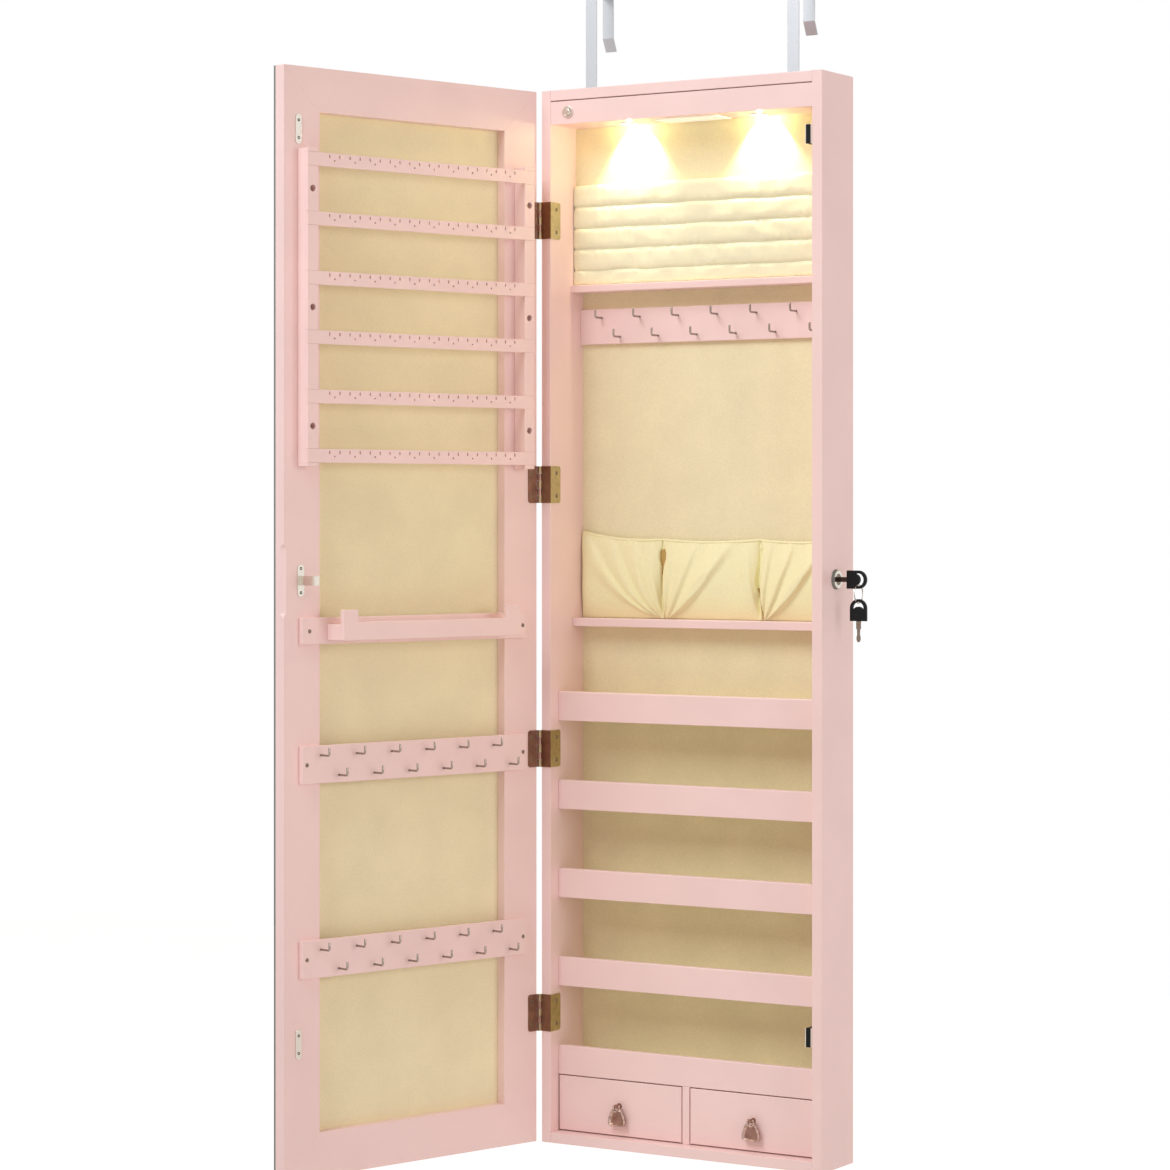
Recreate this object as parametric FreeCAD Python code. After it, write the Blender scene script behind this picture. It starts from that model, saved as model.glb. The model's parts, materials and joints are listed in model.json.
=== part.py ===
"""Wall and door hung jewelry mirror cabinet: a shallow case behind a full-length mirror door.

Millimetres. +X to the right, +Y back towards the wall, +Z up.
The origin is the centre of the case's back face. The door is drawn closed and then turned open.
"""
import FreeCAD, Part
import math
import os

V = FreeCAD.Vector
UP = V(0, 0, 1)
RIGHT = V(1, 0, 0)
BACK = V(0, 1, 0)

# ---- case ----------------------------------------------------------------
CASE_H = 1200.0            # outside height
CASE_W = 360.0             # outside width
CASE_D = 75.0              # outside depth
WALL = 12.0                # board of the sides, top and bottom
BACK_T = 3.0               # hardboard back
BACK_LAP = 6.0             # how far the back sits into a rebate of the boards
LINING_T = 0.8             # cloth glued on the back
EDGE_R = 1.0               # rounding of the case's outer front edges
FIT = 0.3                  # gap round pieces that are set in
SOFT_GAP = 0.35            # gap round soft pieces
FACETS = 12                # flats of small turned pieces

# ---- shelves and racks: the upper half hangs from the top, the rest stands on the bottom
SHELF_UP_DROP = 220.0      # top of the upper shelf below the case's top
SHELF_UP_T = 8.0
SHELF_UP_SET = 43.0        # how far its front edge stands behind the case's front
SHELF_LOW_TOP = 597.5
SHELF_LOW_T = 9.5
SHELF_LOW_SET = 46.5
RACK_COUNT = 5
RACK_LOWEST = 76.5         # underside of the lowest rack above the case's bottom
RACK_PITCH = 101.1
RACK_H = 33.5              # height of a rack's front rail
RACK_SET = 17.0            # rail front behind the case's front
RACK_T = 7.0               # thickness of a rail
RACK_FLOOR_T = 6.0

# ---- drawers --------------------------------------------------------------
DIVIDER_T = 9.0
DRAWER_GAP = 1.2           # dark line round a drawer front
DRAWER_FRONT_T = 7.0
DRAWER_WALL = 5.0
DRAWER_FLOOR_T = 3.0
DRAWER_SIDE_DROP = 9.0     # the tray's sides are lower than the front
DRAWER_BACK_GAP = 3.0
PULL_Z = 3.0               # pivot of the pull above the drawer's middle
PULL_STUD_R = 2.4
PULL_STUD_END = 1.7        # stud past the pivot
PULL_ROSE_R = 2.9
PULL_ROSE_T = 1.2
PULL_REACH = 6.5           # pivot in front of the drawer front
PULL_PIN_R = 0.9
PULL_EYE_R = 1.9
PULL_EYE_W = 1.6
PULL_W = 23.0              # widest part of the drop
PULL_H = 22.5              # pivot to the drop's foot
PULL_T = 3.2
PULL_RIM = 2.0             # raised rim round its dished face
PULL_DISH = 1.2

# ---- necklace rail and all hooks ------------------------------------------
RAIL_T = 6.0
CASE_RAIL_GAP = 18.75      # top of the rail below the upper shelf
CASE_RAIL_H = 40.5
HOOKS_PER_ROW = 6
CASE_HOOK_MARGIN = 29.3    # outermost peg from the rail's end
DOOR_HOOK_MARGIN = 25.2
HOOK_STAGGER = 12.2        # each row is shifted this far from the middle
HOOK_ROW_UP = 10.0         # peg above the rail's middle
HOOK_ROW_DOWN = 12.4       # peg below the rail's middle
HOOK_WIRE_R = 1.25
HOOK_LONG = 15.0
HOOK_TIP = 7.5
HOOK_BEND_R = 2.4
HOOK_SIDES = 6

# ---- ring pad -------------------------------------------------------------
PAD_SET = 55.0             # face of the pad board behind the case's front
PAD_BOARD_T = 3.0
PAD_BATTEN_W = 14.0
ROLL_DROP = 105.0          # seam above the first roll, below the case's top
ROLL_PITCH = 24.5
ROLL_CROWN = 6.0           # how far a roll stands out from its seam
ROLL_END = 9.0             # length over which a roll is drawn in at its ends
ROLL_END_CROWN = 3.4
ROLL_SEAM = 1.0            # cloth left over the board at a seam
ROLL_FLATS = 12            # flats round the front of a roll

# ---- light box ------------------------------------------------------------
LIGHT_DROP = 39.0          # underside of the light box below the case's top
FASCIA_T = 12.0
FASCIA_SET = 1.0
FASCIA_TOP_GAP = 1.0
LIGHT_FLOOR_T = 3.0
LED_IN = 84.0              # each lamp from its side wall
LED_R = 8.0
LED_FLANGE_R = 10.0
LED_FLANGE_T = 1.2
LED_BODY_H = 9.0
LENS_R = 6.6
LENS_EDGE = 1.0            # thickness of the lens
COVER_W = 84.0             # battery opening
COVER_D = 38.0
COVER_T = 2.0
COVER_GAP = 0.6
COVER_X = -1.0
COVER_SCREW_IN = 4.5       # screw from the cover's left end
COVER_SCREW_R = 1.6
BOX_WALL = 1.5
BOX_END = 4.0              # battery box longer than its opening at each end
BOX_H = 20.0
CELL_R = 5.2
CELL_L = 44.5
CELL_PITCH = 14.0
SWITCH_IN = 22.7           # switch from the left wall
SWITCH_RIM_R = 7.0
SWITCH_RIM_T = 1.2
SWITCH_BARREL_R = 5.8
SWITCH_BUTTON_R = 4.4
SWITCH_BUTTON_EDGE = 0.8
SWITCH_OUT = 2.6           # button stands in front of its rim
SWITCH_TRAVEL = 1.5

# ---- pouch ----------------------------------------------------------------
POUCH_TOP = 689.0
POUCH_CORNER_RISE = 9.0    # the top edge rises to its left end
POUCH_TACKS_IN = (108.2, 102.0)  # each tack from its side wall
POUCH_HEM = 7.0            # piped hem at the top
POUCH_HEM_OUT = 3.6
POUCH_BELLY = 11.5         # pocket standing out low down
POUCH_TUCK = 3.0           # cloth at a tack
POUCH_BACK_T = 0.6
POUCH_TIE = 1.0            # hollow under the hem
POUCH_BELLY_SHARE = 0.3    # height of the belly, as a share of the pocket
POUCH_FOOT_SHARE = 0.25    # how far the foot draws back, as a share of the belly
POUCH_FOLDS = ((0.0, 0.0), (0.12, 0.62), (0.28, 0.8), (0.5, 1.0), (0.72, 0.78), (0.88, 0.66))

# ---- catches and door strikes ---------------------------------------------
CATCH_RISE = 147.0         # lower catch above the case's bottom
CATCH_DROP = 69.0          # upper catch below the case's top
CATCH_W = 8.2
CATCH_H = 21.0
CATCH_DEEP = 22.0
CATCH_PLATE_T = 1.2
CATCH_PLATE_OUT = 0.6
CATCH_TOUCH = 0.3          # gap left between catch and strike when closed
STRIKE_W = 8.0
STRIKE_L = 32.5
STRIKE_T = 1.2
STRIKE_IN = 20.0           # strike from the case's right face

# ---- hinges ---------------------------------------------------------------
HINGES = 4
HINGE_END = 148.0          # outermost hinges from the case's top and bottom
HINGE_H = 42.0
HINGE_LEAF_T = 1.0
HINGE_WRAP = 20.0          # case leaf along the inside of the case
HINGE_CORNER = 2.0         # cut corners of the leaves
HINGE_DOOR_LEAF = 13.0
KNUCKLE_R = 2.7
KNUCKLES = 5
KNUCKLE_GAP = 0.2
PIN_R = 1.1
PIN_PLAY = 0.05
LEAF_ROOT = 1.25           # leaf starts this far from the pin's axis
PIN_OUT = 2.2              # pin axis outside the case's left face
OPEN_ANGLE = 106.7

# ---- door -----------------------------------------------------------------
DOOR_GAP = 2.4             # between case front and door when closed
DOOR_REVEAL = 1.0          # door smaller than the case all round
DOOR_FRAME_T = 15.0
MIRROR_T = 3.0
FRAME_W = 48.0             # stile and rail
PANEL_SET = 12.0           # door lining behind the frame's inner face
PANEL_T = 2.5
GRIP_LOW = 604.0           # finger groove on the free edge
GRIP_HIGH = 687.0
GRIP_R = 9.0
GRIP_DEEP = 3.0

# ---- earring holder on the door -------------------------------------------
HOLDER_SIDE = 18.5         # holder from the door's edges
HOLDER_LOW = 768.0         # above the case's bottom
HOLDER_DROP = 90.0         # below the case's top
HOLDER_STILE = 14.5
HOLDER_T = 18.0
SLATS = 6
SLAT_H = 14.5
SLAT_T = 4.0
SLAT_END = 4.5             # slats from the ends of the stiles
EAR_SLOTS = 20
EAR_SLOT_W = 1.6
EAR_SLOT_H = 3.6
EAR_SLOT_DROP = 1.8        # slot below the slat's top
EAR_MARGIN = 15.0          # outermost slot from the stile
EAR_HOLES = 10
EAR_HOLE_R = 1.1
EAR_HOLE_SIDES = 6
EAR_HOLE_DROP = 8.0
STILE_BORES = 3            # counterbored screw holes in each stile
STILE_BORE_R = 3.6
STILE_BORE_DEEP = 10.0
STILE_BORE_END = 43.5      # outermost bores from the ends of the stile

# ---- bracelet rack on the door --------------------------------------------
BOARD_SIDE = 20.0          # boards and rails from the door's edges
BRACELET_LOW = 576.5       # above the case's bottom
BRACELET_H = 29.0
BAR_IN = 34.0              # bar's ends from the board's ends
BAR_LOW = 581.0
BAR_H = 19.8
BAR_EAR = 13.2             # raised ends above the bar
BAR_EAR_W = 20.0
BAR_T = 6.0
BAR_OUT = 35.0             # front of the bar from the door's inner face
SPACER_H = 17.0

# ---- hook rails on the door -----------------------------------------------
DOOR_RAIL_Z = (237.5, 447.0)
DOOR_RAIL_H = 41.0

# ---- lock and keys --------------------------------------------------------
LOCK_Z = 645.5
LOCK_SET = 33.5            # lock centre behind the case's front
LOCK_FLANGE_R = 11.2
LOCK_FLANGE_T = 3.2
LOCK_FLANGE_SLOPE = 1.6
LOCK_BARREL_R = 8.5
LOCK_INSIDE = 12.0         # barrel past the wall's inner face
LOCK_NUT_R = 11.0
LOCK_NUT_T = 4.0
PLUG_R = 6.0
PLUG_PLAY = 0.08
CAM_T = 1.6
CAM_HUB_R = 6.5
CAM_IN = 13.0
CAM_OUT = 17.0
CAM_SPAN = (255.0, 375.0)  # the hook when unlocked, from +Y towards +Z
STRIKE_TONGUE = 27.0       # reach of the lock strike's tongue
TONGUE_H = 10.3
TONGUE_T = 1.5
TONGUE_LIP = 5.5
TONGUE_IN = 23.0           # tongue from the case's right face
LOCK_PLATE_W = 9.0
LOCK_PLATE_L = 35.0
KEY_OUT = 10.5             # blade seen between lock and head
KEY_L = 24.0               # length of the moulded head
KEY_W = 20.0
KEY_T = 4.6
KEY_BLADE_W = 5.4
KEY_BLADE_T = 1.8
KEY_BLADE_L = 23.0
KEY_HOLE_R = 7.0
KEY_HOLE_IN_R = 6.2
KEY_HOLE_SHIFT = 4.4
KEY_EDGE = 0.8
RING_R = 10.0
RING_WIRE_R = 0.7
RING_SIDES = 6
RING_FLATS = 12            # straight lengths in each half of the ring
RING_CLEAR = 0.7           # wire to the outer edge of a key's hole

# ---- hangers over the door of the room ------------------------------------
HANGER_IN = (21.5, 74.2)   # middle of each strap from the case's outer faces
HANGER_W = 14.5
HANGER_T = 1.6
HANGER_UP = 120.0          # underside of the bridge above the case
HANGER_SLOT = 36.0         # room for the door's top edge
HANGER_DOWN = 90.0         # strap down the case's back
HANGER_LEG = 48.0          # back leg below the bridge
HANGER_LIP = 15.0
HANGER_LIP_OUT = 7.0
HANGER_BEND = 3.0
HANGER_HOLE_R = 2.2
HANGER_HOLES = (25.0, 65.0)

# ---- worked out from the sizes above ---------------------------------------
HALF_W = CASE_W / 2
IN_X = HALF_W - WALL
FRONT = -CASE_D
BASE = -CASE_H / 2
BACK_FACE = -BACK_T - LINING_T
CEILING = CASE_H / 2 - WALL
FLOOR = BASE + WALL
DOOR_IN = FRONT - DOOR_GAP
DOOR_X = HALF_W - DOOR_REVEAL
DOOR_LOW = BASE + DOOR_REVEAL
DOOR_HIGH = CASE_H / 2 - DOOR_REVEAL
PIN_X = -HALF_W - PIN_OUT
PIN_Y = FRONT - DOOR_GAP / 2
PAD_Y = FRONT + PAD_SET
SHELF_UP = CASE_H / 2 - SHELF_UP_DROP
SHELF_LOW = BASE + SHELF_LOW_TOP
LIGHT_LOW = CASE_H / 2 - LIGHT_DROP
BOARD_X = DOOR_X - BOARD_SIDE
STRIKE_X = HALF_W - STRIKE_IN
TONGUE_X = HALF_W - TONGUE_IN
CATCH_Z = (BASE + CATCH_RISE, CASE_H / 2 - CATCH_DROP)
FASCIA_Y = FRONT + FASCIA_SET
RACK_Y = FRONT + RACK_SET
RACK_Z = [BASE + RACK_LOWEST + i * RACK_PITCH for i in range(RACK_COUNT)]
LOCK_Y = FRONT + LOCK_SET
LOCK_ZC = BASE + LOCK_Z

PARTS = {}


def box(x0, x1, y0, y1, z0, z1):
    """Block between two corners."""
    return Part.makeBox(x1 - x0, y1 - y0, z1 - z0, V(x0, y0, z0))


def rod(radius, start, end):
    """Round bar from one point to another."""
    along = end - start
    return Part.makeCylinder(radius, along.Length, start, along)


def faceted_rod(radius, start, end):
    """Bar of twelve flats, for small round pieces that repeat or stay hidden."""
    along = V(end - start).normalize()
    across = BACK if abs(along.dot(RIGHT)) > 0.5 else RIGHT
    section = polygon(start, radius, FACETS, across, along.cross(across))
    return Part.Face(section).extrude(end - start)


def faceted_bore(radius, start, end):
    """Hole of twelve flats that leaves a round bar of this radius free to turn."""
    return faceted_rod(radius / math.cos(math.pi / FACETS), start, end)


def fuse(shapes):
    """One solid out of pieces that touch or overlap."""
    body = shapes[0]
    for shape in shapes[1:]:
        body = body.fuse(shape)
    return body.removeSplitter()


def prism(points, push):
    """Polygon pushed along a vector."""
    ring = Part.makePolygon(list(points) + [points[0]])
    return Part.Face(ring).extrude(push)


def polygon(centre, radius, sides, across, up):
    """Regular polygon as a closed wire."""
    ring = []
    for i in range(sides):
        a = 2 * math.pi * i / sides
        ring.append(centre + across * (radius * math.cos(a)) + up * (radius * math.sin(a)))
    return Part.makePolygon(ring + [ring[0]])


def bent_wire(start, corner, tip, radius, bend, sides):
    """Wire peg with one bend, as a ruled loft through polygons square to its path."""
    into = (corner - start).normalize()
    out = (tip - corner).normalize()
    side = into.cross(out).normalize()
    cut = bend * math.tan(into.getAngle(out) / 2)
    stations = ((start, into), (corner - into * cut, into * 2 + out),
                (corner + out * cut, into + out * 2), (tip, out))
    wires = [polygon(place, radius, sides, side, V(along).normalize().cross(side))
             for place, along in stations]
    return Part.makeLoft(wires, True, True)


def save(name, shapes):
    """Keep a node; several solids are kept side by side."""
    solids = shapes if isinstance(shapes, list) else [shapes]
    PARTS[name] = solids[0] if len(solids) == 1 else Part.makeCompound(solids)


# ---- case ------------------------------------------------------------------
def back_rebate():
    """Room that the hardboard back takes out of the boards round it."""
    reach = IN_X + BACK_LAP
    return box(-reach, reach, -BACK_T, 1.0, FLOOR - BACK_LAP, CEILING + BACK_LAP)


def round_edge(board, x, y):
    """Round the upright edge of a board at x, y."""
    chosen = []
    for edge in board.Edges:
        ends = edge.Vertexes
        upright = abs(ends[0].Z - ends[-1].Z) > CASE_H / 2
        if upright and abs(ends[0].X - x) < FIT and abs(ends[0].Y - y) < FIT:
            chosen.append(edge)
    return board.makeFillet(min(EDGE_R, WALL / 3), chosen)


def case_boards():
    rebate = back_rebate()
    for name, sign in (("case_left_side", -1), ("case_right_side", 1)):
        x0, x1 = sorted((sign * IN_X, sign * HALF_W))
        side = box(x0, x1, FRONT, 0, BASE, -BASE).cut(rebate)
        side = round_edge(side, sign * HALF_W, FRONT)
        if sign > 0:
            centre = V(IN_X - 1, LOCK_Y, LOCK_ZC)
            side = side.cut(rod(LOCK_BARREL_R, centre, centre + RIGHT * (WALL + 2)))
        save(name, side)
    save("case_top", box(-IN_X, IN_X, FRONT, 0, CEILING, -BASE).cut(rebate).cut(hanger_seats()))
    save("case_bottom", box(-IN_X, IN_X, FRONT, 0, BASE, FLOOR).cut(rebate))
    reach = IN_X + BACK_LAP
    back = box(-reach, reach, -BACK_T, 0, FLOOR - BACK_LAP, CEILING + BACK_LAP)
    save("back_panel", back.cut(hanger_seats()))


def back_lining():
    """Cloth on the back, in one sheet behind shelves and racks."""
    save("back_lining", box(-IN_X, IN_X, BACK_FACE, -BACK_T, FLOOR, CEILING))


def shelf(name, top, thick, setback):
    save(name, box(-IN_X, IN_X, FRONT + setback, BACK_FACE, top - thick, top))


def racks():
    """Front rails, each with a floor board behind its foot."""
    rails = []
    floors = []
    for z in RACK_Z:
        rail = box(-IN_X, IN_X, RACK_Y, RACK_Y + RACK_T, z, z + RACK_H)
        top_front = [e for e in rail.Edges
                     if abs(e.CenterOfMass.z - z - RACK_H) < FIT
                     and abs(e.CenterOfMass.x) < FIT]
        rails.append(rail.makeChamfer(min(EDGE_R, RACK_T / 3), top_front))
        floors.append(box(-IN_X, IN_X, RACK_Y + RACK_T, BACK_FACE, z, z + RACK_FLOOR_T))
    save("rack_rails", rails)
    save("rack_floors", floors)


# ---- ring pad and light box --------------------------------------------------
def ring_pad():
    """Cloth-covered board on two battens, and five sewn ring rolls on its face."""
    board = box(-IN_X, IN_X, PAD_Y, PAD_Y + PAD_BOARD_T, SHELF_UP, CEILING)
    battens = []
    for sign in (-1, 1):
        x0, x1 = sorted((sign * IN_X, sign * (IN_X - PAD_BATTEN_W)))
        battens.append(box(x0, x1, PAD_Y + PAD_BOARD_T, BACK_FACE, SHELF_UP, CEILING))
    save("ring_pad_board", fuse([board] + battens))


def roll_section(x, low, high, crown):
    """Half ellipse of one roll on its seams, in a plane of constant x."""
    face = PAD_Y - SOFT_GAP / 2
    seam = face - ROLL_SEAM
    middle = (low + high) / 2
    half = (high - low) / 2
    points = [V(x, face, low)]
    for i in range(ROLL_FLATS + 1):
        a = math.pi * i / ROLL_FLATS
        points.append(V(x, seam - crown * math.sin(a), middle - half * math.cos(a)))
    points.append(V(x, face, high))
    return Part.makePolygon(points + [points[0]])


def ring_rolls():
    """Five crowned rolls, drawn in at their ends, the last cut short by the shelf."""
    top = CASE_H / 2 - ROLL_DROP
    end = IN_X - SOFT_GAP
    inner = end - ROLL_END
    rolls = []
    while top > SHELF_UP + ROLL_PITCH / 4:
        low = max(top - ROLL_PITCH, SHELF_UP + SOFT_GAP)
        stations = ((-end, ROLL_END_CROWN), (-inner, ROLL_CROWN),
                    (inner, ROLL_CROWN), (end, ROLL_END_CROWN))
        wires = [roll_section(x, low, top, crown) for x, crown in stations]
        rolls.append(Part.makeLoft(wires, True, True))
        top = low
        if low <= SHELF_UP + SOFT_GAP:
            break
    save("ring_rolls", fuse(rolls))


def light_box():
    top = CEILING - FASCIA_TOP_GAP
    fascia = box(-IN_X, IN_X, FASCIA_Y, FASCIA_Y + FASCIA_T, LIGHT_LOW, top)
    middle = V(SWITCH_IN - IN_X, FASCIA_Y - 1, (LIGHT_LOW + top) / 2)
    fascia = fascia.cut(rod(SWITCH_BARREL_R, middle, middle + BACK * (FASCIA_T + 2)))
    save("light_fascia", fascia)

    y0 = FASCIA_Y + FASCIA_T
    floor = box(-IN_X, IN_X, y0, PAD_Y, LIGHT_LOW, LIGHT_LOW + LIGHT_FLOOR_T)
    lamp_y = (y0 + PAD_Y) / 2
    housings = []
    lenses = []
    for x in (LED_IN - IN_X, IN_X - LED_IN):
        at = V(x, lamp_y, LIGHT_LOW)
        floor = floor.cut(faceted_rod(LED_R, at - UP, at + UP * (LIGHT_FLOOR_T + 1)))
        flange = faceted_rod(LED_FLANGE_R, at - UP * LED_FLANGE_T, at)
        barrel = faceted_rod(LED_R - FIT, at, at + UP * LED_BODY_H)
        mouth = faceted_rod(LENS_R, at - UP * (LED_FLANGE_T + 1), at + UP * LED_FLANGE_T)
        housings.append(fuse([flange, barrel]).cut(mouth))
        rim = at + UP * (LED_FLANGE_T - LENS_EDGE)
        edge = faceted_rod(LENS_R - FIT, rim, rim + UP * LENS_EDGE)
        low_rim = [e for e in edge.Edges if abs(e.CenterOfMass.z - rim.z) < FIT / 3]
        lenses.append(edge.makeChamfer(LENS_EDGE / 2, low_rim))
    cover_y0 = lamp_y - COVER_D / 2
    opening = box(COVER_X - COVER_W / 2, COVER_X + COVER_W / 2, cover_y0, cover_y0 + COVER_D,
                  LIGHT_LOW - 1, LIGHT_LOW + LIGHT_FLOOR_T + 1)
    save("light_box_floor", floor.cut(opening))
    save("led_housings", housings)
    save("led_lenses", lenses)
    battery_box(lamp_y)
    switch(middle)


def battery_box(lamp_y):
    """Tray over the opening, four cells in two rows, and a screwed cover."""
    low = LIGHT_LOW + LIGHT_FLOOR_T
    half_x = COVER_W / 2 + BOX_END
    half_y = COVER_D / 2
    outer = box(COVER_X - half_x - BOX_WALL, COVER_X + half_x + BOX_WALL,
                lamp_y - half_y - BOX_WALL, lamp_y + half_y + BOX_WALL, low, low + BOX_H)
    inner = box(COVER_X - half_x, COVER_X + half_x, lamp_y - half_y, lamp_y + half_y,
                low - 1, low + BOX_H - BOX_WALL)
    save("battery_box", outer.cut(inner))
    cells = []
    roof = low + BOX_H - BOX_WALL
    for y in (lamp_y - CELL_PITCH / 2, lamp_y + CELL_PITCH / 2):
        for x in (COVER_X - CELL_L - FIT, COVER_X + FIT):
            start = V(x, y, roof - CELL_R)
            cells.append(faceted_rod(CELL_R, start, start + RIGHT * CELL_L))
    save("battery_cells", cells)
    gap = COVER_GAP
    cover = box(COVER_X - COVER_W / 2 + gap, COVER_X + COVER_W / 2 - gap,
                lamp_y - half_y + gap, lamp_y + half_y - gap, LIGHT_LOW, LIGHT_LOW + COVER_T)
    screw_hole = V(COVER_X - COVER_W / 2 + COVER_SCREW_IN, lamp_y, LIGHT_LOW - 1)
    cover = cover.cut(rod(COVER_SCREW_R, screw_hole, screw_hole + UP * (COVER_T + 2)))
    save("battery_cover", cover)


def switch(middle):
    """Round metal rim in the fascia with a push button in it."""
    face = V(middle.x, FASCIA_Y, middle.z)
    rim = rod(SWITCH_RIM_R, face - BACK * SWITCH_RIM_T, face)
    barrel = faceted_rod(SWITCH_BARREL_R, face, face + BACK * (FASCIA_T + SWITCH_TRAVEL))
    bore = faceted_bore(SWITCH_BUTTON_R + PLUG_PLAY, face - BACK * (SWITCH_RIM_T + 1),
                        face + BACK * FASCIA_T)
    save("switch_bezel", fuse([rim, barrel]).cut(bore))
    front = face - BACK * SWITCH_OUT
    inner = face + BACK * (FASCIA_T - SWITCH_TRAVEL - FIT)
    button = faceted_rod(SWITCH_BUTTON_R, front, inner)
    rim_edges = [e for e in button.Edges if abs(e.CenterOfMass.y - front.y) < FIT]
    save("switch_button", button.makeChamfer(SWITCH_BUTTON_EDGE, rim_edges))


# ---- hooks -------------------------------------------------------------------
def hook_places(half, rail_z, stagger):
    """Two staggered rows of pegs within half a width each way: points along x and z."""
    pitch = 2 * (half - HOOK_STAGGER) / (HOOKS_PER_ROW - 1)
    places = []
    for shift, z in ((-stagger, rail_z + HOOK_ROW_UP), (stagger, rail_z - HOOK_ROW_DOWN)):
        for i in range(HOOKS_PER_ROW):
            places.append((shift + (i - (HOOKS_PER_ROW - 1) / 2) * pitch, z))
    return places


def hook(x, face, z, outward):
    """L-shaped wire peg: out of the rail, then up."""
    start = V(x, face, z)
    corner = start + BACK * (outward * HOOK_LONG)
    tip = corner + UP * HOOK_TIP
    return bent_wire(start, corner, tip, HOOK_WIRE_R, HOOK_BEND_R, HOOK_SIDES)


def necklace_rail():
    z = SHELF_UP - SHELF_UP_T - CASE_RAIL_GAP - CASE_RAIL_H / 2
    face = BACK_FACE - RAIL_T
    save("necklace_rail", box(-IN_X, IN_X, face, BACK_FACE, z - CASE_RAIL_H / 2, z + CASE_RAIL_H / 2))
    places = hook_places(IN_X - CASE_HOOK_MARGIN, z, HOOK_STAGGER)
    save("necklace_hooks", [hook(x, face, hz, -1) for x, hz in places])


def door_hook_rails():
    rails = []
    hooks = []
    face = DOOR_IN + RAIL_T
    for height in DOOR_RAIL_Z:
        z = BASE + height
        rails.append(box(-BOARD_X, BOARD_X, DOOR_IN, face, z - DOOR_RAIL_H / 2, z + DOOR_RAIL_H / 2))
        places = hook_places(BOARD_X - DOOR_HOOK_MARGIN, z, -HOOK_STAGGER)
        hooks += [hook(x, face, hz, 1) for x, hz in places]
    save("door_hook_rails", rails)
    save("door_hooks", hooks)


# ---- pouch -------------------------------------------------------------------
def pouch_section(x, out, top):
    """Closed outline of the hanging pouch at one x: hem, hollow, belly and foot."""
    back = BACK_FACE - SOFT_GAP
    low = SHELF_LOW + SOFT_GAP
    hem = top - POUCH_HEM
    front = back - POUCH_BACK_T - out
    hem_y = back - POUCH_BACK_T - POUCH_HEM_OUT
    foot = V(x, front + out * POUCH_FOOT_SHARE, low)
    belly = V(x, front, low + (hem - low) * POUCH_BELLY_SHARE)
    waist = V(x, (front + hem_y) / 2, (hem * 2 + low) / 3)
    tie = V(x, hem_y + POUCH_TIE, hem)
    crown = V(x, hem_y - POUCH_TIE / 2, top - POUCH_HEM / 2)
    brim = V(x, hem_y + POUCH_TIE, top)
    points = [V(x, back, low), foot, belly, waist, tie, crown, brim, V(x, back, top)]
    return Part.makePolygon(points + [points[0]])


def pouch_stations():
    """Places across the pouch with the cloth's stand-out and top height there."""
    low_x = -IN_X + SOFT_GAP
    high_x = IN_X - SOFT_GAP
    tacks = [POUCH_TACKS_IN[0] - IN_X, IN_X - POUCH_TACKS_IN[1]]
    marks = [low_x] + tacks + [high_x]
    rows = []
    for left, right in zip(marks[:-1], marks[1:]):
        for share, lift in POUCH_FOLDS:
            x = left + (right - left) * share
            rows.append((x, POUCH_TUCK + (POUCH_BELLY - POUCH_TUCK) * lift))
    rows.append((high_x, POUCH_TUCK))
    top = BASE + POUCH_TOP
    reach = tacks[0] - low_x
    result = []
    for x, out in rows:
        climb = max(0.0, (tacks[0] - x) / reach)
        result.append((x, out, top + POUCH_CORNER_RISE * climb * climb))
    return result


def necklace_pouch():
    """Three gathered pockets hung under a piped top edge."""
    wires = [pouch_section(*station) for station in pouch_stations()]
    save("necklace_pouch", Part.makeLoft(wires, True, True))


# ---- drawers -----------------------------------------------------------------
def drawer_divider():
    save("drawer_divider", box(-DIVIDER_T / 2, DIVIDER_T / 2, RACK_Y, BACK_FACE, FLOOR, RACK_Z[0]))


def drawer(name, sign):
    """Front board, open tray behind it, and a drop pull on a stud."""
    x0, x1 = sorted((sign * (DIVIDER_T / 2 + DRAWER_GAP), sign * (IN_X - DRAWER_GAP)))
    z0 = FLOOR + DRAWER_GAP
    z1 = RACK_Z[0] - DRAWER_GAP
    y0 = RACK_Y
    y1 = y0 + DRAWER_FRONT_T
    front = box(x0, x1, y0, y1, z0, z1)
    rim = [e for e in front.Edges if abs(e.CenterOfMass.y - y0) < FIT]
    save(name + "_front", front.makeChamfer(EDGE_R / 2, rim))
    back = BACK_FACE - DRAWER_BACK_GAP
    side_top = z1 - DRAWER_SIDE_DROP
    tray = box(x0, x1, y1, back, z0, side_top)
    well = box(x0 + DRAWER_WALL, x1 - DRAWER_WALL, y1 - 1, back - DRAWER_WALL,
               z0 + DRAWER_FLOOR_T, side_top + 1)
    save(name + "_tray", tray.cut(well))
    pull((x0 + x1) / 2, (z0 + z1) / 2 + PULL_Z, y0, name)


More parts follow.
